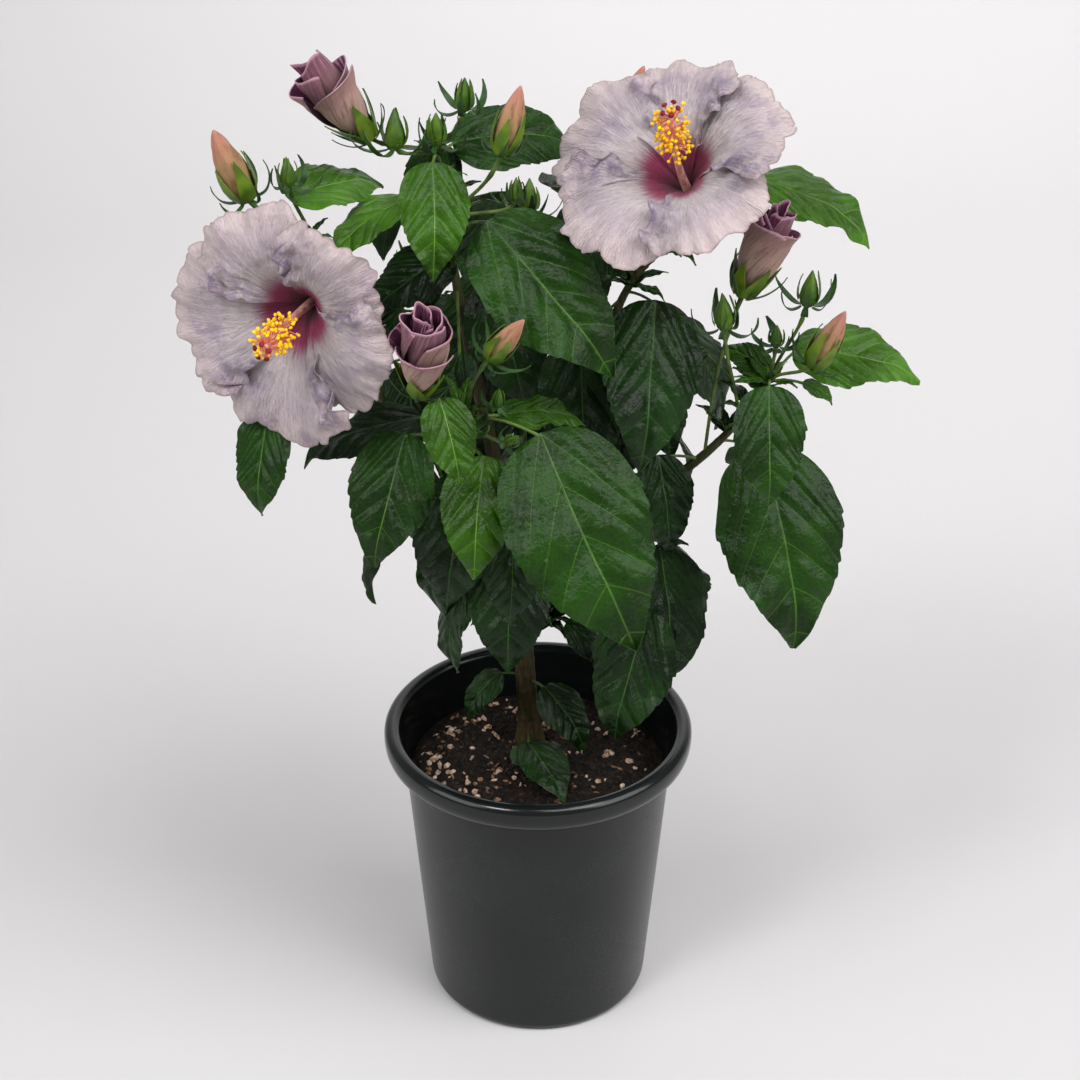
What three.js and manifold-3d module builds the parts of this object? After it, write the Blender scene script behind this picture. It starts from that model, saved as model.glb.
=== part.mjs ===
// A potted hibiscus: a thin shrub with one stem, drooping ovate leaves, two open blooms and a crowd of
// buds, standing in its nursery pot. Millimetres, +Z up, the origin at the centre of the pot's underside.
// Headings are compass degrees in plan: 0 is +X, 90 is +Y, 180 is -X and 270 is -Y, the plant's show side.

import * as THREE from "three";
import { mergeVertices } from "three/addons/utils/BufferGeometryUtils.js";
import Module from "manifold-3d";

const wasm = await Module();
wasm.setup();

// ---------------------------------------------------------------- driving sizes

const POT_HEIGHT = 221;
const POT_RIM_RADIUS = 110; // outside of the rolled rim
const POT_TOP_RADIUS = 98; // outside of the wall just under the rim
const POT_FOOT_RADIUS = 80; // outside of the wall at the ground
const POT_WALL = 2.4;
const POT_FLOOR = 3;
const RIM_LIP = 20; // how far the rolled rim hangs down outside the wall
const RIM_ROLL = 6; // radius of the roll at the top of the rim
const DRAIN_SLOTS = 6;
const DRAIN_SLOT = { wide: 12, tall: 4, deep: 10, heading: 265 }; // the first one at this heading
const SOIL_LEVEL = 184;
const SOIL_SWELL = 5; // the soil stands this much higher round the stem than at the wall
const SOIL_CROWN_RADIUS = 60; // how far out that swelling is level
const SOIL_GAP = 0.5; // between the soil and the wall
const CLEAR = 0.3; // running gap between neighbouring solids

const TRUNK_FOOT = [-6, 22, SOIL_LEVEL + SOIL_SWELL + CLEAR];
const TRUNK_MID = [-10, 19, 265];
const TRUNK_FORK = [-14, 15, 345];
const TRUNK_FOOT_RADIUS = 7.8;
const TRUNK_FORK_RADIUS = 6.2;
const TRUNK_FLARE = 2.8; // extra radius at the soil, gone one flare height up
const TRUNK_FLARE_HEIGHT = 22;

const STEM_END_RADIUS = 1.7; // a spray's stem at its tip
const STALK_RADIUS = 1.1; // a leaf stalk
const FLOWER_STALK_RADIUS = 1.5;
const BLADE_THICKNESS = 0.011; // share of the blade's length
const THINNEST_BLADE = 0.8;
const SINK = 2.5; // how far a stalk or foot runs into what carries it

// Leaves that grow by rule: [least, most] of each size in millimetres and degrees.
const GROWN = {
  long: [78, 120],
  stalk: [22, 56],
  rises: [12, 38], // the stalk above level
  falls: [38, 70], // the blade below level
  sways: [-12, 12],
  drifts: [-20, 20], // from the golden angle
  joint: [0.05, 1],
};
const GOLDEN_ANGLE = 137.5; // from one leaf to the next round a stem
const TRIES_A_LEAF = 60;
const LEAF_ROOM = 11; // least distance between the blades of leaves that grow by rule
const LIMB_ROOM = 7; // least distance from such a leaf to a limb

// Boughs: where on the trunk each leaves (0 foot, 1 fork), its tip, and its radius at either end.
const BOUGHS = {
  tall_bough: { leaves: 0.97, tip: [-48, 4, 530], radii: [5.6, 3.6], bow: 0.05 },
  left_bough: { leaves: 0.86, tip: [-106, -22, 498], radii: [4.6, 2.9], bow: 0.22 },
  front_bough: { leaves: 0.72, tip: [-44, -74, 450], radii: [4.4, 2.9], bow: 0.12 },
  flower_bough: { leaves: 0.93, tip: [50, -8, 540], radii: [4.6, 2.9], bow: 0.12 },
  right_bough: { leaves: 0.8, tip: [104, -4, 430], radii: [4.6, 3.1], bow: 0.02 },
  back_left_bough: { leaves: 0.82, tip: [-52, 64, 430], radii: [4.2, 2.8], bow: 0.2 },
  back_right_bough: { leaves: 0.76, tip: [42, 68, 412], radii: [4.2, 2.8], bow: 0.2 },
  back_top_bough: { leaves: 0.9, tip: [-10, 56, 492], radii: [4.2, 2.8], bow: 0.12 },
};

// ---------------------------------------------------------------- the sprays

// leaf(stands, faces, falls, sways, long): the foot of the blade, the heading that its upper side faces,
// how many degrees it hangs below level, how far its tip swings round in its own plane, and its length.
const leaf = (stands, faces, falls, sways, long, more) => ({ stands, faces, falls, sways, long, ...more });

// flower(kind, foot, heading, rise, long): the foot of the calyx, the way it points, and its length.
const flower = (kind, foot, heading, rise, long, more) => ({ kind, foot, heading, rise, long, ...more });

// Each spray grows from a bough's tip, or straight from the trunk, along its stem to `stem`. Leaves and
// flowers are carried by the nearest joint of the stem, or by the joint named in `joint` (0 foot, 1 tip).
// `fill` leaves more grow by rule inside the ellipsoid `room`, round the stem at the golden angle.
const SPRAYS = {
  top_spray: {
    from: "tall_bough",
    stem: [-62, -8, 645],
    flowers: [
      flower("opening", [-102, -20, 662], 195, 52, 62),
      flower("green", [-87, -25, 657], 100, 86, 25),
      flower("green", [-62, -20, 658], 270, 84, 21),
      flower("green", [-45, -15, 678], 300, 86, 21),
      flower("pointed", [-22, -50, 663], 5, 74, 43, { joint: 0.55 }),
      flower("green", [-14, 0, 614], 80, 82, 15, { joint: 0.6 }),
    ],
    leaves: [
      leaf([-81, -38, 630], 228, 28, -14, 62),
      leaf([-63, -60, 661], 275, 60, -2, 70),
      leaf([-60, 16, 646], 285, 55, -22, 58),
      leaf([-54, 12, 648], 288, 32, 82, 84),
      leaf([-31, -60, 624], 285, 55, 33, 122, { joint: 0.5 }),
      leaf([-56, 6, 576], 262, 40, -46, 66),
      leaf([-70, 24, 616], 128, 46, 0, 88),
      leaf([-36, 30, 604], 66, 50, 0, 80),
      leaf([-26, 14, 560], 275, 70, 10, 92, { joint: 0.05 }),
    ],
  },
  left_spray: {
    from: "left_bough",
    stem: [-140, -42, 606],
    flowers: [
      flower("bloom", [-128, -52, 577], 246, 0, 76, {
        turn: 120,
        petals: [0.95, 1.08, 1.1, 0.95, 0.9],
        joint: 0.66,
      }),
      flower("pointed", [-175, -60, 638], 213, 68, 50),
      flower("green", [-150, -55, 644], 250, 86, 19),
    ],
    leaves: [
      leaf([-153, -46, 634], 308, 18, 84, 68),
      leaf([-168, -78, 504], 245, 68, 2, 66, { joint: 0.1 }),
      leaf([-138, -8, 566], 150, 42, 8, 80),
      leaf([-122, 10, 522], 112, 50, -6, 90),
      leaf([-74, 12, 503], 144, 50, 4, 80, { joint: 0.05 }),
    ],
  },
  front_spray: {
    from: "front_bough",
    stem: [-46, -98, 512],
    flowers: [
      flower("opening", [-71, -116, 535], 281, 68, 62),
      flower("pointed", [-29, -115, 558], 336, 52, 37),
      flower("green", [-42, -112, 507], 240, 70, 13),
      flower("green", [-25, -104, 521], 300, 75, 13),
      flower("green", [-19, -106, 497], 320, 40, 12),
    ],
    leaves: [
      leaf([1, -105, 503], 280, 60, 20, 148),
      leaf([-24, -84, 505], 345, 12, 30, 58),
      leaf([-59, -122, 535], 280, 62, 9, 54),
      leaf([-33, -104, 487], 275, 62, -7, 77),
      leaf([-82, -90, 496], 255, 65, -9, 88),
      leaf([-74, -56, 490], 200, 18, -12, 82),
      leaf([-17, -84, 428], 270, 66, -1, 66, { joint: 0.1 }),
    ],
  },
  flower_spray: {
    from: "flower_bough",
    stem: [80, -20, 590],
    flowers: [
      flower("bloom", [99, -30, 620], 236, 50, 76, { turn: 100, petals: [0.96, 1.06, 1, 0.94, 0.98] }),
      flower("pointed", [54, 44, 648], 350, 72, 42),
    ],
    leaves: [
      leaf([74, -27, 558], 285, 62, -11, 108, { joint: 0.3 }),
      leaf([14, 4, 606], 300, 50, 35, 70),
      leaf([8, 30, 612], 40, 20, 20, 58),
      leaf([141, 30, 617], 318, 26, 26, 84),
      leaf([90, 40, 598], 82, 18, 0, 90),
      leaf([27, -14, 524], 262, 72, 4, 96, { joint: 0.2 }),
      leaf([57, 26, 502], -2, 56, -8, 71, { joint: 0.15 }),
    ],
  },
  right_spray: {
    from: "right_bough",
    stem: [150, -20, 498],
    flowers: [
      flower("opening", [129, -25, 560], 0, 70, 60, { joint: 0.12 }),
      flower("green", [118, -32, 540], 180, 86, 24, { joint: 0.55 }),
      flower("green", [171, -20, 551], 20, 84, 24),
      flower("green", [152, -26, 525], 270, 86, 16),
      flower("pointed", [175, -35, 516], 344, 65, 44),
    ],
    leaves: [
      leaf([146, -52, 510], 275, 65, -1, 77),
      leaf([145, -24, 452], 285, 65, 6, 138, { joint: 0.55 }),
      leaf([166, 0, 511], 280, 25, 71, 86),
      leaf([151, -12, 502], 270, 40, -120, 36),
      leaf([170, -32, 503], 320, 32, 22, 24),
      leaf([79, -17, 443], 290, 70, 1, 66, { joint: 0.05 }),
      leaf([111, 20, 502], 235, 24, -30, 32),
      leaf([146, 6, 436], 62, 60, 0, 92, { joint: 0.3 }),
    ],
  },
  low_right_spray: {
    from: 0.6,
    stem: [64, -12, 356],
    radius: 2.8,
    flowers: [],
    leaves: [
      leaf([82, -20, 374], 295, 70, -6, 98),
      leaf([74, -46, 342], 245, 70, -7, 98),
      leaf([20, -4, 306], 325, 46, 10, 50, { joint: 0.3 }),
      leaf([76, 22, 366], 40, 58, 0, 96),
      leaf([67, 47, 396], 59, 53, 5, 73),
      leaf([48, 20, 378], 24, 70, -7, 79),
    ],
  },
  low_front_spray: {
    from: 0.5,
    stem: [-19, -34, 372],
    radius: 2.6,
    flowers: [],
    leaves: [leaf([-17, -40, 392], 270, 68, -2, 92)],
  },
  low_left_spray: {
    from: 0.64,
    stem: [-56, -28, 396],
    radius: 2.8,
    flowers: [],
    leaves: [
      leaf([-52, -42, 440], 262, 74, -4, 92),
      leaf([-58, -14, 408], 216, 74, 8, 84),
      leaf([-50, -30, 356], 214, 72, 12, 66, { joint: 0.6 }),
      leaf([-82, -8, 412], 168, 66, 0, 98),
      leaf([-74, 17, 445], 148, 54, 7, 86),
      leaf([-44, 39, 393], 166, 53, 7, 78),
    ],
  },
  back_left_spray: {
    from: "back_left_bough",
    stem: [-74, 96, 500],
    flowers: [flower("green", [-84, 108, 524], 120, 80, 22)],
    leaves: [],
    fill: 8,
    room: { centre: [-72, 88, 464], radii: [90, 92, 100] },
    seed: 11,
  },
  back_right_spray: {
    from: "back_right_bough",
    stem: [56, 98, 466],
    flowers: [flower("green", [58, 112, 466], 60, 70, 22)],
    leaves: [],
    fill: 8,
    room: { centre: [60, 88, 432], radii: [78, 92, 92] },
    seed: 23,
  },
  back_top_spray: {
    from: "back_top_bough",
    stem: [-12, 78, 550],
    flowers: [flower("green", [-6, 88, 572], 80, 84, 24)],
    leaves: [],
    fill: 8,
    room: { centre: [-10, 84, 528], radii: [96, 92, 96] },
    seed: 37,
  },
  back_low_spray: {
    from: 0.68,
    stem: [8, 78, 372],
    radius: 2.8,
    flowers: [],
    leaves: [],
    fill: 7,
    room: { centre: [4, 84, 350], radii: [100, 88, 80] },
    seed: 41,
  },
};

// Single leaves low on the trunk, each on its own stalk: where on the trunk it leaves, and the leaf.
const FOOT_LEAVES = {
  foot_leaf_left: { leaves: 0.37, leaf: leaf([-27, 16, 252], 222, 48, -10, 42) },
  foot_leaf_right: { leaves: 0.35, leaf: leaf([4, 4, 247], 300, 47, 16, 54) },
  foot_leaf_front: { leaves: 0.05, leaf: leaf([-8, 2, 201], 290, 5, 4, 66) },
};

// ---------------------------------------------------------------- directions, curves and chance

const radians = THREE.MathUtils.degToRad;
const vector = (place) => new THREE.Vector3(...place);
const UP = new THREE.Vector3(0, 0, 1);

// The unit vector of a heading and a rise above level, both in degrees.
function pointing(heading, rise) {
  const flat = Math.cos(radians(rise));
  return new THREE.Vector3(
    Math.cos(radians(heading)) * flat,
    Math.sin(radians(heading)) * flat,
    Math.sin(radians(rise)),
  );
}

// A limb's line from one point to another. A positive bow leaves flat and turns up, a negative one
// arches over.
function reach(start, end, bow) {
  const third = end.clone().sub(start).divideScalar(3);
  const sag = UP.clone().multiplyScalar((bow * start.distanceTo(end)) / 3);
  return new THREE.CubicBezierCurve3(
    start,
    start.clone().add(third).sub(sag),
    end.clone().sub(third).sub(sag),
    end,
  );
}

// A flower stalk's line: it leaves upwards and arrives along the flower's own axis.
function stalkLine(start, foot, axis) {
  const third = start.distanceTo(foot) / 3;
  const first = foot.clone().sub(start).normalize().add(UP).normalize().multiplyScalar(third);
  return new THREE.CubicBezierCurve3(
    start,
    start.clone().add(first),
    foot.clone().addScaledVector(axis, -third),
    foot,
  );
}

// A repeatable stream of numbers from 0 to 1.
function chance(seed) {
  let state = seed >>> 0;
  return () => {
    state = (Math.imul(state, 1664525) + 1013904223) >>> 0;
    return state / 4294967296;
  };
}

// ---------------------------------------------------------------- solids

const joined = (solids) => solids.reduce((whole, solid) => whole.add(solid));

// A closed three.js geometry as a solid.
function solidOf(geometry) {
  const bare = geometry.index ? geometry.toNonIndexed() : geometry.clone();
  bare.deleteAttribute("normal");
  bare.deleteAttribute("uv");
  const merged = mergeVertices(bare, 1e-4);
  return new wasm.Manifold(
    new wasm.Mesh({
      numProp: 3,
      vertProperties: new Float32Array(merged.attributes.position.array),
      triVerts: new Uint32Array(merged.index.array),
    }),
  );
}

// The largest body of a solid, without loose scraps.
function largestOf(solid) {
  return solid.decompose().reduce((most, body) => (body.volume() > most.volume() ? body : most));
}

// A solid back as a named mesh.
function meshOf(name, solid, material) {
  const { vertProperties, triVerts, numProp } = solid.getMesh();
  const places = new Float32Array((vertProperties.length / numProp) * 3);
  for (let i = 0; i * numProp < vertProperties.length; i++)
    places.set(vertProperties.subarray(i * numProp, i * numProp + 3), i * 3);
  const geometry = new THREE.BufferGeometry()
    .setAttribute("position", new THREE.BufferAttribute(places, 3))
    .setIndex(new THREE.BufferAttribute(new Uint32Array(triVerts), 1));
  geometry.computeVertexNormals();
  const mesh = new THREE.Mesh(geometry, material);
  mesh.name = name;
  return mesh;
}

// A round limb along a curve, its radius a function of the way along, from a bent and tapered cylinder.
function limb(curve, radiusAt, [sides, steps]) {
  const geometry = new THREE.CylinderGeometry(1, 1, 1, sides, steps).translate(0, 0.5, 0);
  const frames = curve.computeFrenetFrames(steps, false);
  const places = geometry.attributes.position;
  for (let i = 0; i < places.count; i++) {
    const along = places.getY(i);
    const step = Math.round(along * steps);
    const radius = radiusAt(along);
    const place = curve
      .getPoint(along)
      .addScaledVector(frames.normals[step], places.getX(i) * radius)
      .addScaledVector(frames.binormals[step], -places.getZ(i) * radius);
    places.setXYZ(i, place.x, place.y, place.z);
  }
  return solidOf(geometry);
}

// A closed body of revolution about a foot and an axis. The profile is [radius, way along] pairs, whose
// ends are on the axis.
function turned(foot, axis, profile, sides) {
  const geometry = new THREE.LatheGeometry(
    profile.map(([radius, along]) => new THREE.Vector2(radius, along)),
    sides,
  );
  geometry.applyQuaternion(new THREE.Quaternion().setFromUnitVectors(new THREE.Vector3(0, 1, 0), axis));
  return solidOf(geometry.translate(foot.x, foot.y, foot.z));
}

// A thin closed sheet: `place(across, along, face)` puts each point, across -1 to 1, along 0 to 1 and
// face -1 or 1, where across, along and face turn the same way as X, Y and Z.
function sheet(place, columns, rows) {
  const geometry = new THREE.BoxGeometry(2, 1, 2, columns, rows, 1).translate(0, 0.5, 0);
  const places = geometry.attributes.position;
  for (let i = 0; i < places.count; i++) {
    const spot = place(places.getX(i), places.getY(i), Math.sign(places.getZ(i)));
    places.setXYZ(i, spot.x, spot.y, spot.z);
  }
  return solidOf(geometry);
}

// Sides round each sort of limb, and steps along it.
const FACETS = {
  trunk: [9, 9],
  bough: [7, 6],
  stem: [5, 5],
  leafStalk: [3, 2],
  flowerStalk: [3, 3],
  footStalk: [4, 4],
};

// ---------------------------------------------------------------- leaves

const BLADE_WIDTH = 0.3; // half width over length, at the widest
const BLADE_SHOULDER = 0.45; // the outline's rise at the foot of the blade
const BLADE_TAPER = 0.85; // and its fall towards the tip
const BLADE_ARCH = 0.07; // how far the midrib arches over its chord, over length
const BLADE_DROP = 0.16; // how far the margins droop below the midrib, over half width
const BLADE_ROWS = 4;
const LEAST_HALF_WIDTH = 1.2;

// The blade's half width at a share of its length, over its greatest half width.
function bladeOutline(along) {
  const widest = BLADE_SHOULDER / (BLADE_SHOULDER + BLADE_TAPER);
  const shape = (share) => share ** BLADE_SHOULDER * (1 - share) ** BLADE_TAPER;
  return shape(along) / shape(widest);
}

// The blade's own directions: along its midrib, across it, and out of its upper side.
function bladeFrame({ faces, falls, sways }) {
  const outward = pointing(faces, -falls);
  const level = pointing(faces + 90, 0);
  const swing = radians(sways);
  return {
    midrib: outward.clone().multiplyScalar(Math.cos(swing)).addScaledVector(level, Math.sin(swing)),
    across: outward.clone().multiplyScalar(Math.sin(swing)).addScaledVector(level, -Math.cos(swing)),
    upper: pointing(faces, 90 - falls),
  };
}

// A point of the blade's middle surface, across -1 to 1 and along 0 to 1.
function bladePoint(blade, across, along) {
  const frame = bladeFrame(blade);
  const half = Math.max(LEAST_HALF_WIDTH, blade.long * BLADE_WIDTH * bladeOutline(along));
  const arch = BLADE_ARCH * blade.long * 4 * along * (1 - along);
  return vector(blade.stands)
    .addScaledVector(frame.midrib, along * blade.long)
    .addScaledVector(frame.across, across * half)
    .addScaledVector(frame.upper, arch - BLADE_DROP * half * across * across);
}

function bladeSolid(blade) {
  const { upper } = bladeFrame(blade);
  const half = Math.max(THINNEST_BLADE, BLADE_THICKNESS * blade.long) / 2;
  const spaced = (share) => share ** 1.15; // the foot of the blade turns faster than its tip
  return sheet(
    (across, along, face) => bladePoint(blade, across, spaced(along)).addScaledVector(upper, face * half),
    2,
    BLADE_ROWS,
  );
}

// The line of a leaf stalk, from its joint to a little way inside the blade.
function leafStalk(start, blade) {
  const { midrib } = bladeFrame(blade);
  const end = vector(blade.stands).addScaledVector(midrib, SINK);
  return reach(start, end, -0.3);
}

// ---------------------------------------------------------------- flowers and buds

const PETALS = 5;
const PETAL_FOOT = 22; // where the petals leave the calyx, along the flower's axis
const PETAL_FOOT_RADIUS = 5;
const PETAL_THICKNESS = 1.3;
const BOWL_DEPTH = 40; // how far the petals rise from the calyx to their bend
const PETAL_REFLEX = 10; // and how far their ends roll back
const PETAL_SPREADS = { foot: 0.66, open: 0.83 }; // half the angle that a petal takes up, in radians
const PETAL_ROUNDING = 0.2; // how far a petal's corners draw in, over its length
const PETAL_OVERLAP = 8; // each petal's one side stands this far over its neighbour's other side
// Bodies of revolution about the flower's axis: [radius, way along] in millimetres.
const CALYX_PROFILE = [[0, 0], [4, 0], [8, 8], [8.5, 24], [0, 26]];
const COLUMN_PROFILE = [[0, 20], [2.6, 20], [1.8, 60], [7.5, 66], [9, 80], [6.5, 90], [0, 98]];

// A point of a petal `long` in the flower's own frame: x and y across the mouth, z along its axis.
function petalPoint(turn, long, across, along, face) {
  const opened = THREE.MathUtils.smoothstep(along, 0.1, 0.55);
  const spread = PETAL_SPREADS.foot + (PETAL_SPREADS.open - PETAL_SPREADS.foot) * opened;
  const around = radians(turn) - across * spread;
  const reachOut = long * (1 - PETAL_ROUNDING * Math.abs(across) ** 3) - PETAL_FOOT_RADIUS;
  const radius = PETAL_FOOT_RADIUS + reachOut * along ** 1.15;
  const height = PETAL_FOOT + BOWL_DEPTH * (1 - (1 - along) ** 2.2) - PETAL_REFLEX * along ** 4;
  const lift = face * (PETAL_THICKNESS / 2) - PETAL_OVERLAP * across * along;
  return new THREE.Vector3(Math.cos(around) * radius, Math.sin(around) * radius, height + lift);
}

// The flower's own frame: right and up across its mouth, as seen from in front, and out along its axis.
function flowerFrame({ heading, rise }) {
  const out = pointing(heading, rise);
  const up = pointing(heading + 180, 90 - rise);
  const right = up.clone().cross(out);
  return new THREE.Matrix4().makeBasis(right, up, out);
}

function bloomSolid(bloom) {
  const frame = flowerFrame(bloom).setPosition(...bloom.foot);
  const axis = pointing(bloom.heading, bloom.rise);
  const petals = bloom.petals.map((share, k) => {
    const turn = bloom.turn + (k * 360) / PETALS;
    return sheet((...spot) => petalPoint(turn, bloom.long * share, ...spot).applyMatrix4(frame), 4, 4);
  });
  const foot = vector(bloom.foot);
  const middle = [CALYX_PROFILE, COLUMN_PROFILE].map((profile) => turned(foot, axis, profile, 7));
  return joined([...middle, ...petals]);
}

// Radius over length, and way along over length, of each kind of bud.
const BUD_PROFILES = {
  opening: [[0, 0], [0.1, 0], [0.18, 0.25], [0.29, 0.66], [0.27, 0.9], [0, 1]],
  pointed: [[0, 0], [0.12, 0], [0.21, 0.2], [0.19, 0.55], [0, 1]],
  green: [[0, 0], [0.16, 0], [0.27, 0.3], [0.2, 0.65], [0, 1]],
};
const BUD_SIDES = { opening: 7, pointed: 6, green: 5 };

function flowerSolid(blossom) {
  if (blossom.kind === "bloom") return bloomSolid(blossom);
  const { kind, foot, heading, rise, long } = blossom;
  const profile = BUD_PROFILES[kind].map(([radius, along]) => [radius * long, along * long]);
  return turned(vector(foot), pointing(heading, rise), profile, BUD_SIDES[kind]);
}

// ---------------------------------------------------------------- growth

// Evenly spaced shares from 0 to 1.
const steps = (count) => Array.from({ length: count }, (_, k) => k / (count - 1));
const BLADE_SAMPLES = steps(7).flatMap((along) => steps(5).map((side) => [2 * side - 1, along]));
const bladeSpots = (blade) => BLADE_SAMPLES.map(([across, along]) => bladePoint(blade, across, along));

// What already stands in the crown: points, each with the spray that owns it and whether it is wood.
class Crown {
  taken = [];

  add(owner, wood, places) {
    for (const place of places) this.taken.push({ owner, wood, place });
  }

  addLine(owner, curve) {
    this.add(owner, true, steps(15).map((along) => curve.getPoint(along)));
  }

  addBlade(owner, blade) {
    this.add(owner, false, bladeSpots(blade));
  }

  addFlower(owner, blossom) {
    const foot = vector(blossom.foot);
    const axis = pointing(blossom.heading, blossom.rise);
    const upAxis = (along) => foot.clone().addScaledVector(axis, along * blossom.long);
    this.add(owner, false, steps(5).map(upAxis));
    if (blossom.kind !== "bloom") return;
    const frame = flowerFrame(blossom).setPosition(...blossom.foot);
    const rings = steps(21).flatMap((round) => [0.3, 0.65, 1].map((along) => [360 * round, along]));
    const onPetal = ([turn, along]) => petalPoint(turn, blossom.long, 0, along, 0).applyMatrix4(frame);
    this.add(owner, false, rings.map(onPetal));
  }

  // Whether a blade and its stalk keep their distance from everything but their own spray's wood.
  hasRoom(owner, blade, stalk) {
    const spots = bladeSpots(blade);
    const line = [0.3, 0.5, 0.7, 0.9].map((along) => stalk.getPoint(along));
    const clear = (places, from, room) => places.every((place) => place.distanceTo(from) >= room);
    return this.taken.every(({ owner: other, wood, place }) => {
      if (wood && other === owner) return clear(spots, place, LIMB_ROOM / 2);
      return clear(spots, place, wood ? LIMB_ROOM : LEAF_ROOM) && clear(line, place, LIMB_ROOM);
    });
  }
}

// The joint of a stem that carries something standing at `place`.
function jointFor(stem, place, joint) {
  if (joint !== undefined) return stem.getPoint(joint);
  const joints = steps(11).map((along) => stem.getPoint(along));
  return joints.reduce((best, spot) => (spot.distanceTo(place) < best.distanceTo(place) ? spot : best));
}

// Whether a point lies in an ellipsoid.
const within = ({ centre, radii }, spot) =>
  spot.clone().sub(vector(centre)).divide(vector(radii)).length() <= 1;

// The leaves that grow by rule: round the stem at the golden angle, each kept only where it has room.
function grownLeaves(name, spray, stem, crown) {
  const next = chance(spray.seed);
  const between = ([least, most]) => least + (most - least) * next();
  const kept = [];
  for (let tries = 0; kept.length < spray.fill && tries < spray.fill * TRIES_A_LEAF; tries++) {
    const heading = tries * GOLDEN_ANGLE + between(GROWN.drifts);
    const joint = between(GROWN.joint);
    const start = stem.getPoint(joint);
    const out = pointing(heading, between(GROWN.rises));
    const stands = start.clone().addScaledVector(out, between(GROWN.stalk)).toArray();
    const turns = [GROWN.falls, GROWN.sways, GROWN.long].map(between);
    const blade = leaf(stands, heading, ...turns, { joint });
    const ends = [[0, 1], [-1, 0.4], [1, 0.4]].map(([across, along]) => bladePoint(blade, across, along));
    if (!ends.every((end) => within(spray.room, end))) continue;
    if (!crown.hasRoom(name, blade, leafStalk(start, blade))) continue;
    crown.addBlade(name, blade);
    kept.push(blade);
  }
  return kept;
}

// ---------------------------------------------------------------- the wood

const trunkLine = new THREE.QuadraticBezierCurve3(...[TRUNK_FOOT, TRUNK_MID, TRUNK_FORK].map(vector));

function trunkRadius(along) {
  const height = along * (TRUNK_FORK[2] - TRUNK_FOOT[2]);
  const flare = TRUNK_FLARE * Math.exp(-((height / TRUNK_FLARE_HEIGHT) ** 2) * 3);
  return TRUNK_FOOT_RADIUS + (TRUNK_FORK_RADIUS - TRUNK_FOOT_RADIUS) * along + flare;
}

const boughLines = Object.fromEntries(
  Object.entries(BOUGHS).map(([name, bough]) => [
    name,
    reach(trunkLine.getPoint(bough.leaves), vector(bough.tip), bough.bow),
  ]),
);

// The line and foot radius of a spray's stem: on from its bough's tip, or out from the trunk.
function stemOf(spray) {
  const end = vector(spray.stem);
  if (typeof spray.from === "number")
    return { line: reach(trunkLine.getPoint(spray.from), end, 0.1), radius: spray.radius };
  const bough = boughLines[spray.from];
  const onward = bough.getTangent(1);
  const start = bough.getPoint(1).addScaledVector(onward, CLEAR);
  const line = new THREE.QuadraticBezierCurve3(
    start,
    start.clone().addScaledVector(onward, start.distanceTo(end) / 2),
    end,
  );
  return { line, radius: BOUGHS[spray.from].radii[1] };
}

// The trunk, cut flat at the soil, swollen where it's to cut what grows out of it.
function trunkSolid(swell) {
  const [x, y, z] = TRUNK_FOOT;
  const wide = 6 * TRUNK_FOOT_RADIUS;
  const deep = TRUNK_FLARE_HEIGHT;
  const ground = new THREE.BoxGeometry(wide, wide, deep).translate(x, y, z - deep / 2);
  return limb(trunkLine, (along) => trunkRadius(along) + swell, FACETS.trunk).subtract(solidOf(ground));
}

function boughSolid(name, swell) {
  const [foot, tip] = BOUGHS[name].radii;
  return limb(boughLines[name], (along) => foot + (tip - foot) * along + swell, FACETS.bough);
}

// ---------------------------------------------------------------- the pot and its soil

const wallRadius = (height) => POT_FOOT_RADIUS + ((POT_TOP_RADIUS - POT_FOOT_RADIUS) * height) / POT_HEIGHT;
const POT_SIDES = 32;

function potSolid() {
  const roll = [];
  for (let angle = 180; angle >= 0; angle -= 45) {
    const centre = POT_RIM_RADIUS - RIM_ROLL;
    roll.push([
      centre + RIM_ROLL * Math.cos(radians(angle)),
      POT_HEIGHT - RIM_ROLL + RIM_ROLL * Math.sin(radians(angle)),
    ]);
  }
  const profile = [
    [0, 0],
    [POT_FOOT_RADIUS - 6, 0],
    [POT_FOOT_RADIUS - 1.5, 2],
    [wallRadius(7), 7],
    [wallRadius(POT_HEIGHT - RIM_LIP), POT_HEIGHT - RIM_LIP],
    [POT_RIM_RADIUS - 4, POT_HEIGHT - RIM_LIP],
    [POT_RIM_RADIUS - 1, POT_HEIGHT - RIM_LIP + 3],
    ...roll.reverse(),
    [wallRadius(POT_HEIGHT - RIM_LIP) - POT_WALL, POT_HEIGHT - RIM_LIP],
    [wallRadius(POT_FLOOR) - POT_WALL, POT_FLOOR],
    [0, POT_FLOOR],
  ];
  const shell = turned(new THREE.Vector3(), UP, profile, POT_SIDES);
  const slots = Array.from({ length: DRAIN_SLOTS }, (_, k) => {
    const heading = DRAIN_SLOT.heading + (k * 360) / DRAIN_SLOTS;
    const slot = new THREE.BoxGeometry(DRAIN_SLOT.deep, DRAIN_SLOT.wide, DRAIN_SLOT.tall * 2);
    slot.translate(POT_FOOT_RADIUS + 1, 0, 0).rotateZ(radians(heading));
    return solidOf(slot);
  });
  return slots.reduce((pot, slot) => pot.subtract(slot), shell);
}

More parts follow.
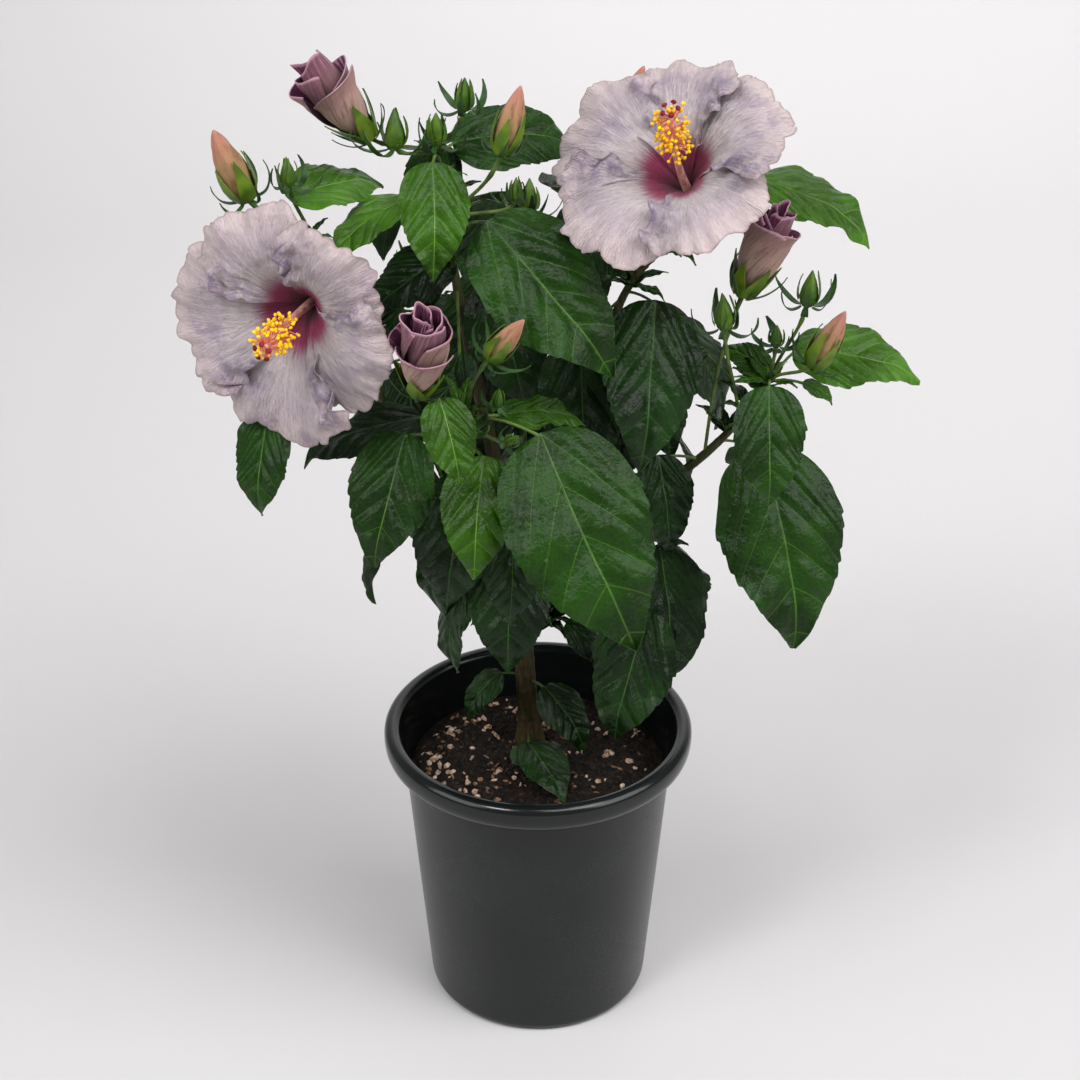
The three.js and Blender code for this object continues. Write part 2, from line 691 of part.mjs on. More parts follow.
function soilSolid() {
  const radiusAt = (height) => wallRadius(height) - POT_WALL - SOIL_GAP;
  const bottom = POT_FLOOR + CLEAR;
  return turned(
    new THREE.Vector3(),
    UP,
    [
      [0, bottom],
      [radiusAt(bottom), bottom],
      [radiusAt(SOIL_LEVEL), SOIL_LEVEL],
      [SOIL_CROWN_RADIUS, SOIL_LEVEL + SOIL_SWELL],
      [0, SOIL_LEVEL + SOIL_SWELL],
    ],
    POT_SIDES,
  );
}

// ---------------------------------------------------------------- assembly

const plastic = new THREE.MeshStandardMaterial({ name: "pot", color: 0x2e3032, roughness: 0.45 });
const earth = new THREE.MeshStandardMaterial({ name: "soil", color: 0x2a1d15, roughness: 0.95 });
const bark = new THREE.MeshStandardMaterial({ name: "bark", color: 0x6b5136, roughness: 0.8 });
const foliage = new THREE.MeshStandardMaterial({ name: "foliage", color: 0x1f4a22, roughness: 0.45 });

const plant = new THREE.Group();
plant.name = "potted_hibiscus";
plant.add(meshOf("pot", potSolid(), plastic), meshOf("soil", soilSolid(), earth));
plant.add(meshOf("trunk", trunkSolid(0), bark));

// Each bough is cut back to just clear of the trunk and of the boughs made before it.
let cutter = trunkSolid(CLEAR);
for (const name of Object.keys(BOUGHS)) {
  plant.add(meshOf(name, largestOf(boughSolid(name, 0).subtract(cutter)), bark));
  cutter = cutter.add(boughSolid(name, CLEAR));
}

const crown = new Crown();
crown.addLine("trunk", trunkLine);
for (const [name, line] of Object.entries(boughLines)) crown.addLine(name, line);
const stems = Object.fromEntries(Object.entries(SPRAYS).map(([name, spray]) => [name, stemOf(spray)]));
for (const [name, spray] of Object.entries(SPRAYS)) {
  crown.addLine(name, stems[name].line);
  for (const blade of spray.leaves) crown.addBlade(name, blade);
  for (const blossom of spray.flowers) crown.addFlower(name, blossom);
}

for (const [name, spray] of Object.entries(SPRAYS)) {
  const { line, radius } = stems[name];
  const blades = spray.fill ? [...spray.leaves, ...grownLeaves(name, spray, line, crown)] : spray.leaves;
  const parts = [limb(line, (along) => radius + (STEM_END_RADIUS - radius) * along, FACETS.stem)];
  for (const blade of blades) {
    const stalk = leafStalk(jointFor(line, vector(blade.stands), blade.joint), blade);
    parts.push(limb(stalk, () => STALK_RADIUS, FACETS.leafStalk), bladeSolid(blade));
  }
  for (const blossom of spray.flowers) {
    const foot = vector(blossom.foot);
    const axis = pointing(blossom.heading, blossom.rise);
    const end = foot.clone().addScaledVector(axis, SINK);
    const stalk = stalkLine(jointFor(line, foot, blossom.joint), end, axis);
    parts.push(limb(stalk, () => FLOWER_STALK_RADIUS, FACETS.flowerStalk), flowerSolid(blossom));
  }
  const grown = joined(parts);
  const clear = typeof spray.from === "number" ? grown.subtract(cutter) : grown;
  plant.add(meshOf(name, largestOf(clear), foliage));
}

for (const [name, { leaves, leaf: blade }] of Object.entries(FOOT_LEAVES)) {
  const stalk = leafStalk(trunkLine.getPoint(leaves), blade);
  const grown = joined([limb(stalk, () => STALK_RADIUS, FACETS.footStalk), bladeSolid(blade)]);
  plant.add(meshOf(name, largestOf(grown.subtract(cutter)), foliage));
}

export default plant;
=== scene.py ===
"""A potted hibiscus in two open blooms, dressed over its solid model.

Sizes are millimetres until a mesh is made, +Z is up, and the origin is the middle of the pot's underside.
Headings are compass degrees in plan: 0 is +X, 90 is +Y, 180 is -X and 270 is -Y, the plant's show side.
"""

import logging
import math
from dataclasses import dataclass, field
from enum import Enum

import bpy
import numpy as np
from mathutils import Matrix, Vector


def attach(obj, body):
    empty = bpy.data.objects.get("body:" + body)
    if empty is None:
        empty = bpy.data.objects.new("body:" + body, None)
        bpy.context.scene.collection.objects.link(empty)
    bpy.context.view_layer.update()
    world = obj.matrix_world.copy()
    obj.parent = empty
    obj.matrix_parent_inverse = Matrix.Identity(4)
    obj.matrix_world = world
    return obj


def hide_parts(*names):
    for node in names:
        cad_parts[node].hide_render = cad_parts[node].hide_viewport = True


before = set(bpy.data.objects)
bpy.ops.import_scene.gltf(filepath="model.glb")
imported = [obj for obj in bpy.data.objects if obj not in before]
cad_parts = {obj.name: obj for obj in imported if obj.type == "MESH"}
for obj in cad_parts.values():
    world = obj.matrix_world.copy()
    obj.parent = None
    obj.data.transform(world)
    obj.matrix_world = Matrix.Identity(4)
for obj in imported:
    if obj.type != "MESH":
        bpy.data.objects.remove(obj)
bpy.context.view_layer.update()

log = logging.getLogger("hibiscus")

Triple = tuple[float, float, float]
Array = np.ndarray
Surface = tuple[Array, Array, Array]

MM = 0.001
UP = np.array([0.0, 0.0, 1.0])


# ---------------------------------------------------------------- directions and curves


def pointing(heading: float, rise: float) -> Array:
    """Gives the unit vector of a heading and a rise above level.

    Args:
        heading: compass degrees in plan.
        rise: degrees above level.

    Returns:
        The vector.
    """
    around, above = math.radians(heading), math.radians(rise)
    level = math.cos(above)
    return np.array([math.cos(around) * level, math.sin(around) * level, math.sin(above)])


def unit(vector: Array) -> Array:
    """Scales a vector, or each of a stack of them, to length 1."""
    return vector / np.linalg.norm(vector, axis=-1, keepdims=True)


def ease(values: Array | float, low: float, high: float) -> Array:
    """Rises smoothly from 0 at low to 1 at high."""
    share = np.clip((np.asarray(values, float) - low) / (high - low), 0.0, 1.0)
    return share * share * (3.0 - 2.0 * share)


def wave(turns: Array) -> Array:
    """Gives the sine of a number of turns."""
    return np.sin(math.tau * turns)


def polar(around: Array, away: Array, height: Array) -> Array:
    """Places points round an upright axis by their angle, their distance from it and their height."""
    return np.stack([np.cos(around) * away, np.sin(around) * away, height], axis=-1)


def net(columns: int, rows: int) -> tuple[Array, Array]:
    """Gives a grid's places across, from -1 to 1, and along, from 0 to 1."""
    return tuple(np.meshgrid(np.linspace(-1, 1, columns), np.linspace(0, 1, rows)))


def shade(colour: Triple, share: float) -> Triple:
    """Darkens a colour to a share of itself, or lightens it past 1."""
    return tuple(part * share for part in colour)


@dataclass(frozen=True)
class Line:
    """A Bezier curve through space, of three or four control points."""

    knots: Array

    def at(self, along: Array | float) -> Array:
        """Gives the places at shares of the way along.

        Args:
            along: a share from 0 to 1, or an array of them.

        Returns:
            One place, or a stack of them.
        """
        share = np.atleast_1d(np.asarray(along, float))[:, None]
        order = len(self.knots) - 1
        total = sum(
            math.comb(order, k) * share**k * (1.0 - share) ** (order - k) * self.knots[k][None, :]
            for k in range(order + 1)
        )
        return total if np.ndim(along) else total[0]


def reach(start: Array, end: Array, bow: float) -> Line:
    """Makes a limb's line, which leaves flat and turns up, or arches over where the bow is negative.

    Args:
        start: where it starts.
        end: where it ends.
        bow: its sag, as a share of its length.

    Returns:
        The line.
    """
    third = (end - start) / 3.0
    sag = UP * (bow * np.linalg.norm(end - start) / 3.0)
    return Line(np.array([start, start + third - sag, end - third - sag, end]))


def stalk_line(start: Array, foot: Array, axis: Array) -> Line:
    """Makes a flower stalk's line, which leaves upwards and arrives along the flower's axis.

    Args:
        start: its joint on the stem.
        foot: the foot of the flower.
        axis: the way the flower points.

    Returns:
        The line.
    """
    third = np.linalg.norm(foot - start) / 3.0
    first = unit(unit(foot - start) + UP) * third
    return Line(np.array([start, start + first, foot - axis * third, foot]))


class Chance:
    """A repeatable stream of numbers from 0 to 1, the same one that the solid model draws on."""

    def __init__(self, seed: int) -> None:
        """Starts the stream at a seed."""
        self.state = seed

    def next(self) -> float:
        """Draws the next number."""
        self.state = (self.state * 1664525 + 1013904223) % 4294967296
        return self.state / 4294967296

    def between(self, span: tuple[float, float]) -> float:
        """Draws a number from a span."""
        return span[0] + (span[1] - span[0]) * self.next()


# ---------------------------------------------------------------- the plant's measures


class Kind(Enum):
    """How far a flower has come."""

    BLOOM = "bloom"
    OPENING = "opening"
    POINTED = "pointed"
    GREEN = "green"


class Tint(Enum):
    """A leaf's green: paler on young leaves, and darkest on leaves low, inside and at the back of the
    crown, where the dark tint is partly painted shade.
    """

    DARK = 0
    MID = 1
    YOUNG = 2
    FRESH = 3


BLADE_WIDTH = 0.3
BLADE_SHOULDER = 0.45
BLADE_TAPER = 0.85
BLADE_ARCH = 0.07
BLADE_DROP = 0.16
LEAST_HALF_WIDTH = 1.2
SINK = 2.5


@dataclass(frozen=True)
class Blade:
    """One leaf blade, placed by its foot and turned by three angles.

    Attributes:
        stands: the foot of the blade.
        faces: the heading that its upper side faces.
        falls: degrees that it hangs below level.
        sways: degrees that its tip swings round in its own plane.
        long: its length.
        joint: the share of its stem that carries it, where it isn't the nearest.
        tint: its green, paler when young; the darker tints are partly painted shade.
    """

    stands: Triple
    faces: float
    falls: float
    sways: float
    long: float
    joint: float | None = None
    tint: Tint = Tint.DARK

    @property
    def axes(self) -> Surface:
        """The directions along its midrib, across it, and out of its upper side.

        Returns:
            The three unit vectors.
        """
        outward = pointing(self.faces, -self.falls)
        level = pointing(self.faces + 90.0, 0.0)
        swing = math.radians(self.sways)
        midrib = outward * math.cos(swing) + level * math.sin(swing)
        across = outward * math.sin(swing) - level * math.cos(swing)
        return midrib, across, pointing(self.faces, 90.0 - self.falls)

    @staticmethod
    def outline(along: Array) -> Array:
        """Gives the half width over its greatest, at shares of the length.

        Args:
            along: 0 at the foot to 1 at the tip.

        Returns:
            The shares of the greatest half width.
        """
        widest = BLADE_SHOULDER / (BLADE_SHOULDER + BLADE_TAPER)
        peak = widest**BLADE_SHOULDER * (1.0 - widest) ** BLADE_TAPER
        share = np.clip(along, 0.0, 1.0)
        return share**BLADE_SHOULDER * (1.0 - share) ** BLADE_TAPER / peak

    def spots(self, across: Array, along: Array) -> Array:
        """Places points of the blade's middle surface.

        Args:
            across: -1 to 1 from one margin to the other.
            along: 0 at the foot to 1 at the tip.

        Returns:
            The places, stacked as the two arrays are.
        """
        midrib, side, upper = self.axes
        half = np.maximum(LEAST_HALF_WIDTH, self.long * BLADE_WIDTH * self.outline(along))
        lift = BLADE_ARCH * self.long * 4.0 * along * (1.0 - along) - BLADE_DROP * half * across**2
        places = np.array(self.stands) + (along * self.long)[..., None] * midrib
        return places + (across * half)[..., None] * side + lift[..., None] * upper


@dataclass(frozen=True)
class Blossom:
    """A flower or a bud.

    Attributes:
        kind: how far it has come.
        foot: the foot of its calyx.
        heading: the compass heading of its axis.
        rise: its axis's degrees above level.
        long: a bud's length, or an open bloom's radius.
        joint: the share of its stem that carries it, where it isn't the nearest.
        turn: the angle of an open bloom's first petal.
        petals: the length of each of an open bloom's petals, over its radius.
    """

    kind: Kind
    foot: Triple
    heading: float
    rise: float
    long: float
    joint: float | None = None
    turn: float = 0.0
    petals: tuple[float, ...] = ()

    @property
    def axis(self) -> Array:
        """The way that it points."""
        return pointing(self.heading, self.rise)

    @property
    def axes(self) -> Array:
        """Its own directions as columns: right and up across its mouth, and out along its axis."""
        up = pointing(self.heading + 180.0, 90.0 - self.rise)
        return np.column_stack([np.cross(up, self.axis), up, self.axis])

    def place(self, spots: Array) -> Array:
        """Moves points from the flower's own directions to the plant's."""
        return spots @ self.axes.T + np.array(self.foot)


@dataclass(frozen=True)
class Room:
    """The ellipsoid that leaves grown by rule stay in."""

    centre: Triple
    radii: Triple

    def holds(self, spots: Array) -> bool:
        """Tells whether every one of the points is inside."""
        return bool((np.linalg.norm((spots - self.centre) / self.radii, axis=-1) <= 1.0).all())


@dataclass(frozen=True)
class Spray:
    """A mass of the crown: one stem with its leaves and flowers.

    Attributes:
        start: the bough whose tip carries it, or a share of the way up the trunk.
        stem: the tip of its stem.
        flowers: its flowers and buds.
        leaves: its placed leaves.
        radius: the stem's foot radius, where it leaves the trunk.
        fill: how many leaves grow by rule.
        room: where they may grow.
        seed: what their chance starts from.
        tint: the green of those leaves.
    """

    start: str | float
    stem: Triple
    flowers: tuple[Blossom, ...] = ()
    leaves: tuple[Blade, ...] = ()
    radius: float = 2.8
    fill: int = 0
    room: Room | None = None
    seed: int = 0
    tint: Tint = Tint.DARK


@dataclass(frozen=True)
class Bough:
    """A limb from the trunk to a spray: where it leaves, its tip, its radius at either end and its bow."""

    leaves: float
    tip: Triple
    radii: tuple[float, float]
    bow: float


BOUGHS = {
    "tall_bough": Bough(0.97, (-48, 4, 530), (5.6, 3.6), 0.05),
    "left_bough": Bough(0.86, (-106, -22, 498), (4.6, 2.9), 0.22),
    "front_bough": Bough(0.72, (-44, -74, 450), (4.4, 2.9), 0.12),
    "flower_bough": Bough(0.93, (50, -8, 540), (4.6, 2.9), 0.12),
    "right_bough": Bough(0.8, (104, -4, 430), (4.6, 3.1), 0.02),
    "back_left_bough": Bough(0.82, (-52, 64, 430), (4.2, 2.8), 0.2),
    "back_right_bough": Bough(0.76, (42, 68, 412), (4.2, 2.8), 0.2),
    "back_top_bough": Bough(0.9, (-10, 56, 492), (4.2, 2.8), 0.12),
}

DARK, MID, YOUNG, FRESH = Tint.DARK, Tint.MID, Tint.YOUNG, Tint.FRESH
BLOOM, OPENING, POINTED, GREEN = Kind.BLOOM, Kind.OPENING, Kind.POINTED, Kind.GREEN

SPRAYS = {
    "top_spray": Spray(
        "tall_bough",
        (-62, -8, 645),
        flowers=(
            Blossom(OPENING, (-102, -20, 662), 195, 52, 62),
            Blossom(GREEN, (-87, -25, 657), 100, 86, 25),
            Blossom(GREEN, (-62, -20, 658), 270, 84, 21),
            Blossom(GREEN, (-45, -15, 678), 300, 86, 21),
            Blossom(POINTED, (-22, -50, 663), 5, 74, 43, 0.55),
            Blossom(GREEN, (-14, 0, 614), 80, 82, 15, 0.6),
        ),
        leaves=(
            Blade((-81, -38, 630), 228, 28, -14, 62, tint=FRESH),
            Blade((-63, -60, 661), 275, 60, -2, 70, tint=YOUNG),
            Blade((-60, 16, 646), 285, 55, -22, 58, tint=MID),
            Blade((-54, 12, 648), 288, 32, 82, 84, tint=MID),
            Blade((-31, -60, 624), 285, 55, 33, 122, 0.5, MID),
            Blade((-56, 6, 576), 262, 40, -46, 66),
            Blade((-70, 24, 616), 128, 46, 0, 88, tint=MID),
            Blade((-36, 30, 604), 66, 50, 0, 80),
            Blade((-26, 14, 560), 275, 70, 10, 92, 0.05),
        ),
    ),
    "left_spray": Spray(
        "left_bough",
        (-140, -42, 606),
        flowers=(
            Blossom(BLOOM, (-128, -52, 577), 246, 0, 76, 0.66, 120, (0.95, 1.08, 1.1, 0.95, 0.9)),
            Blossom(POINTED, (-175, -60, 638), 213, 68, 50),
            Blossom(GREEN, (-150, -55, 644), 250, 86, 19),
        ),
        leaves=(
            Blade((-153, -46, 634), 308, 18, 84, 68, tint=FRESH),
            Blade((-168, -78, 504), 245, 68, 2, 66, 0.1, MID),
            Blade((-138, -8, 566), 150, 42, 8, 80),
            Blade((-122, 10, 522), 112, 50, -6, 90),
            Blade((-74, 12, 503), 144, 50, 4, 80, 0.05),
        ),
    ),
    "front_spray": Spray(
        "front_bough",
        (-46, -98, 512),
        flowers=(
            Blossom(OPENING, (-71, -116, 535), 281, 68, 62),
            Blossom(POINTED, (-29, -115, 558), 336, 52, 37),
            Blossom(GREEN, (-42, -112, 507), 240, 70, 13),
            Blossom(GREEN, (-25, -104, 521), 300, 75, 13),
            Blossom(GREEN, (-19, -106, 497), 320, 40, 12),
        ),
        leaves=(
            Blade((1, -105, 503), 280, 60, 20, 148, tint=MID),
            Blade((-24, -84, 505), 345, 12, 30, 58, tint=YOUNG),
            Blade((-59, -122, 535), 280, 62, 9, 54, tint=YOUNG),
            Blade((-33, -104, 487), 275, 62, -7, 77, tint=YOUNG),
            Blade((-82, -90, 496), 255, 65, -9, 88, tint=MID),
            Blade((-74, -56, 490), 200, 18, -12, 82),
            Blade((-17, -84, 428), 270, 66, -1, 66, 0.1),
        ),
    ),
    "flower_spray": Spray(
        "flower_bough",
        (80, -20, 590),
        flowers=(
            Blossom(BLOOM, (99, -30, 620), 236, 50, 76, None, 100, (0.96, 1.06, 1.0, 0.94, 0.98)),
            Blossom(POINTED, (54, 44, 648), 350, 72, 42),
        ),
        leaves=(
            Blade((74, -27, 558), 285, 62, -11, 108, 0.3),
            Blade((14, 4, 606), 300, 50, 35, 70),
            Blade((8, 30, 612), 40, 20, 20, 58),
            Blade((141, 30, 617), 318, 26, 26, 84, tint=FRESH),
            Blade((90, 40, 598), 82, 18, 0, 90),
            Blade((27, -14, 524), 262, 72, 4, 96, 0.2),
            Blade((57, 26, 502), -2, 56, -8, 71, 0.15),
        ),
    ),
    "right_spray": Spray(
        "right_bough",
        (150, -20, 498),
        flowers=(
            Blossom(OPENING, (129, -25, 560), 0, 70, 60, 0.12),
            Blossom(GREEN, (118, -32, 540), 180, 86, 24, 0.55),
            Blossom(GREEN, (171, -20, 551), 20, 84, 24),
            Blossom(GREEN, (152, -26, 525), 270, 86, 16),
            Blossom(POINTED, (175, -35, 516), 344, 65, 44),
        ),
        leaves=(
            Blade((146, -52, 510), 275, 65, -1, 77, tint=MID),
            Blade((145, -24, 452), 285, 65, 6, 138, 0.55, MID),
            Blade((166, 0, 511), 280, 25, 71, 86, tint=FRESH),
            Blade((151, -12, 502), 270, 40, -120, 36, tint=YOUNG),
            Blade((170, -32, 503), 320, 32, 22, 24, tint=YOUNG),
            Blade((79, -17, 443), 290, 70, 1, 66, 0.05),
            Blade((111, 20, 502), 235, 24, -30, 32),
            Blade((146, 6, 436), 62, 60, 0, 92, 0.3),
        ),
    ),
    "low_right_spray": Spray(
        0.6,
        (64, -12, 356),
        leaves=(
            Blade((82, -20, 374), 295, 70, -6, 98),
            Blade((74, -46, 342), 245, 70, -7, 98),
            Blade((20, -4, 306), 325, 46, 10, 50, 0.3),
            Blade((76, 22, 366), 40, 58, 0, 96),
            Blade((67, 47, 396), 59, 53, 5, 73),
            Blade((48, 20, 378), 24, 70, -7, 79),
        ),
    ),
    "low_front_spray": Spray(
        0.5,
        (-19, -34, 372),
        radius=2.6,
        leaves=(Blade((-17, -40, 392), 270, 68, -2, 92),),
    ),
    "low_left_spray": Spray(
        0.64,
        (-56, -28, 396),
        leaves=(
            Blade((-52, -42, 440), 262, 74, -4, 92),
            Blade((-58, -14, 408), 216, 74, 8, 84),
            Blade((-50, -30, 356), 214, 72, 12, 66, 0.6),
            Blade((-82, -8, 412), 168, 66, 0, 98),
            Blade((-74, 17, 445), 148, 54, 7, 86),
            Blade((-44, 39, 393), 166, 53, 7, 78),
        ),
    ),
    "back_left_spray": Spray(
        "back_left_bough",
        (-74, 96, 500),
        flowers=(Blossom(GREEN, (-84, 108, 524), 120, 80, 22),),
        fill=8,
        room=Room((-72, 88, 464), (90, 92, 100)),
        seed=11,
    ),
    "back_right_spray": Spray(
        "back_right_bough",
        (56, 98, 466),
        flowers=(Blossom(GREEN, (58, 112, 466), 60, 70, 22),),
        fill=8,
        room=Room((60, 88, 432), (78, 92, 92)),
        seed=23,
    ),
    "back_top_spray": Spray(
        "back_top_bough",
        (-12, 78, 550),
        flowers=(Blossom(GREEN, (-6, 88, 572), 80, 84, 24),),
        fill=8,
        room=Room((-10, 84, 528), (96, 92, 96)),
        seed=37,
        tint=MID,
    ),
    "back_low_spray": Spray(
        0.68,
        (8, 78, 372),
        fill=7,
        room=Room((4, 84, 350), (100, 88, 80)),
        seed=41,
    ),
}

# Each leaf at the trunk's foot: the share of the trunk that carries it, and its blade.
FOOT_LEAVES = {
    "foot_leaf_left": (0.37, Blade((-27, 16, 252), 222, 48, -10, 42)),
    "foot_leaf_right": (0.35, Blade((4, 4, 247), 300, 47, 16, 54)),
    "foot_leaf_front": (0.05, Blade((-8, 2, 201), 290, 5, 4, 66)),
}

# The spans that a grown leaf's measures are drawn from, in millimetres, degrees and shares.
GROWN = {
    "long": (78, 120),
    "stalk": (22, 56),
    "rises": (12, 38),
    "falls": (38, 70),
    "sways": (-12, 12),
    "drifts": (-20, 20),
    "joint": (0.05, 1),
}
GOLDEN_ANGLE = 137.5
TRIES_A_LEAF = 60
LEAF_ROOM = 11.0
LIMB_ROOM = 7.0
TUFT_LEAVES = 6


# ---------------------------------------------------------------- shader and node tools


class Value:
    """An output socket whose arithmetic adds Math nodes to its tree."""

    def __init__(self, graph: "Graph", socket: bpy.types.NodeSocket) -> None:
        """Wraps a socket of a graph."""
        self.graph = graph
        self.socket = socket

    def maths(self, operation: str, *terms: "Value | float") -> "Value":
        """Adds one Math node over the given terms."""
        return self.graph.add("ShaderNodeMath", {"operation": operation}, dict(enumerate(terms)))

    def __add__(self, other: "Value | float") -> "Value":
        """Adds."""
        return self.maths("ADD", self, other)

    def __sub__(self, other: "Value | float") -> "Value":
        """Subtracts."""
        return self.maths("SUBTRACT", self, other)

    def __mul__(self, other: "Value | float") -> "Value":
        """Multiplies."""
        return self.maths("MULTIPLY", self, other)

    def __rsub__(self, other: float) -> "Value":
        """Subtracts this from a number."""
        return self.maths("SUBTRACT", other, self)

    __radd__ = __add__
    __rmul__ = __mul__

    def absolute(self) -> "Value":
        """Drops the sign."""
        return self.maths("ABSOLUTE", self)

    def from_whole(self) -> "Value":
        """Gives the distance from the nearest whole number."""
        return (self.maths("FRACT", self + 0.5) - 0.5).absolute()

    def most(self, other: "Value") -> "Value":
        """Gives the greater of two."""
        return self.maths("MAXIMUM", self, other)

    def spread(self, low: float, high: float) -> "Value":
        """Rises smoothly from 0 at low to 1 at high."""
        inputs = {"Value": self, "From Min": low, "From Max": high}
        return self.graph.add("ShaderNodeMapRange", {"interpolation_type": "SMOOTHSTEP"}, inputs)


class Graph:
    """A node tree that is filled by one method, whatever the node."""

    def __init__(self, tree: bpy.types.NodeTree) -> None:
        """Takes the tree to fill."""
        self.tree = tree

    def add(
        self,
        kind: str,
        settings: dict | None = None,
        inputs: dict | None = None,
        output: int | str = 0,
    ) -> Value:
        """Adds a node, sets it, then fills its sockets.

        Args:
            kind: the node's type.
            settings: its own settings, such as an operation.
            inputs: a value or a link for each socket, by name or number.
            output: the socket to hand back.

        Returns:
            The node's output.
        """
        node = self.tree.nodes.new(kind)
        for name, setting in (settings or {}).items():
            setattr(node, name, setting)
        for name, given in (inputs or {}).items():
            socket = node.inputs[name]
            if isinstance(given, Value):
                self.tree.links.new(given.socket, socket)
            else:
                socket.default_value = given
        return Value(self, node.outputs[output] if len(node.outputs) else None)

    def mix(self, share: Value | float, first: Value | Triple, second: Value | Triple) -> Value:
        """Mixes two colours.

        Args:
            share: how much of the second.
            first: a colour or a link.
            second: a colour or a link.

        Returns:
            The mixed colour.
        """
        sides = [given if isinstance(given, Value) else (*given, 1.0) for given in (first, second)]
        return self.add("ShaderNodeMix", {"data_type": "RGBA"}, {0: share, 6: sides[0], 7: sides[1]}, 2)

    def place(self, scale: Triple = (1.0, 1.0, 1.0)) -> Value:
        """Gives the object coordinates, stretched."""
        spot = self.add("ShaderNodeTexCoord", output="Object")
        return self.add("ShaderNodeMapping", None, {"Vector": spot, "Scale": scale})

    def noise(self, scale: float, detail: float, where: Value | None = None, rough: float = 0.5) -> Value:
        """Adds a noise.

        Args:
            scale: its fineness, in cycles to the metre.
            detail: how many finer layers it has.
            where: the coordinates it reads.
            rough: how strong the finer layers are.

        Returns:
            The noise, around a half.
        """
        inputs = {"Scale": scale, "Detail": detail, "Roughness": rough, "Vector": where or self.place()}
        return self.add("ShaderNodeTexNoise", None, inputs)

    def cells(self, scale: float, where: Value | None = None, feature: str = "F1") -> Value:
        """Gives the distance from the middles, or from the edges, of a pattern of cells."""
        inputs = {"Scale": scale, "Vector": where or self.place()}
        return self.add("ShaderNodeTexVoronoi", {"feature": feature}, inputs, "Distance")

    def spot(self) -> tuple[Value, Value, Value]:
        """Reads a piece's own three values: across, along and fold.

        Returns:
            The three values.
        """
        given = self.add("ShaderNodeAttribute", {"attribute_name": "spot"}, None, "Vector")
        node = self.add("ShaderNodeSeparateXYZ", None, {0: given})
        outputs = node.socket.node.outputs
        return tuple(Value(self, outputs[axis]) for axis in range(3))

    def bump(self, height: Value, strength: float, distance: float) -> Value:
        """Turns a height into a normal."""
        inputs = {"Height": height, "Strength": strength, "Distance": distance}
        return self.add("ShaderNodeBump", None, inputs)


Sockets = dict[str, Value | float]


class Finish:
    """What every finish shares: a subclass gives its shader's sockets, and this makes the material."""

    name: str

    def sockets(self, graph: Graph) -> Sockets:
        """Gives the shader's sockets, each with its constant or its link."""
        raise NotImplementedError

    def material(self) -> bpy.types.Material:
        """Builds the material.

        Returns:
            The material.
        """
        material = bpy.data.materials.new(self.name)
        material.use_nodes = True
        material.node_tree.nodes.clear()
        graph = Graph(material.node_tree)
        shader = graph.add("ShaderNodeBsdfPrincipled", None, self.sockets(graph))
        graph.add("ShaderNodeOutputMaterial", None, {"Surface": shader})
        return material


# ---------------------------------------------------------------- finishes


@dataclass(frozen=True)
class PotPlastic(Finish):
    """Moulded dark grey plastic: a satin skin with faint dust, smoother and shinier on the rim."""

    name: str = "pot plastic"
    base: Triple = (0.0035, 0.005, 0.0052)
    dust: Triple = (0.025, 0.029, 0.03)
    rim: tuple[float, float] = (0.196, 0.208)

    def sockets(self, graph: Graph) -> Sockets:
        """Gives the shader's sockets.

        Args:
            graph: the material's nodes.

        Returns:
            Each socket's constant or link, by its name.
        """
        grain = graph.noise(900.0, 3.0)
        clouds = graph.noise(14.0, 4.0)
        specks = 1.0 - graph.cells(260.0).spread(0.05, 0.16)
        worn = specks * graph.noise(30.0, 2.0).spread(0.5, 0.72)
        height = graph.add("ShaderNodeSeparateXYZ", None, {0: graph.place()}, 2)
        polish = height.spread(*self.rim)
        return {
            "Base Color": graph.mix(clouds.spread(0.35, 0.8) * 0.22 + worn * 0.2, self.base, self.dust),
            "Roughness": clouds * 0.12 + grain * 0.05 + 0.18 - polish * 0.1,
            "Specular IOR Level": 0.38,
            "Normal": graph.bump(grain * 0.4 + clouds * 0.6 - worn * 2.5, 0.12, 0.0006),
        }


@dataclass(frozen=True)
class Peat(Finish):
    """Moist dark potting mix."""

    name: str = "peat"
    dark: Triple = (0.004, 0.003, 0.0022)
    light: Triple = (0.024, 0.014, 0.009)

    def sockets(self, graph: Graph) -> Sockets:
        """Gives the shader's sockets.

        Args:
            graph: the material's nodes.

        Returns:
            Each socket's constant or link, by its name.
        """
        lumps = graph.noise(220.0, 6.0, rough=0.65)
        crumbs = graph.cells(480.0)
        return {
            "Base Color": graph.mix(lumps.spread(0.42, 0.7), self.dark, self.light),
            "Roughness": lumps * 0.2 + 0.75,
            "Specular IOR Level": 0.2,
            "Normal": graph.bump(lumps + crumbs * 0.6, 0.7, 0.002),
        }


@dataclass(frozen=True)
class Crumb(Finish):
    """One sort of crumb in the mix."""

    name: str
    dark: Triple
    light: Triple

    def sockets(self, graph: Graph) -> Sockets:
        """Gives the shader's sockets.

        Args:
            graph: the material's nodes.

        Returns:
            Each socket's constant or link, by its name.
        """
        mottle = graph.noise(300.0, 4.0)
        return {
            "Base Color": graph.mix(mottle.spread(0.35, 0.68), self.dark, self.light),
            "Roughness": mottle * 0.2 + 0.7,
            "Specular IOR Level": 0.25,
            "Normal": graph.bump(mottle, 0.5, 0.0008),
        }


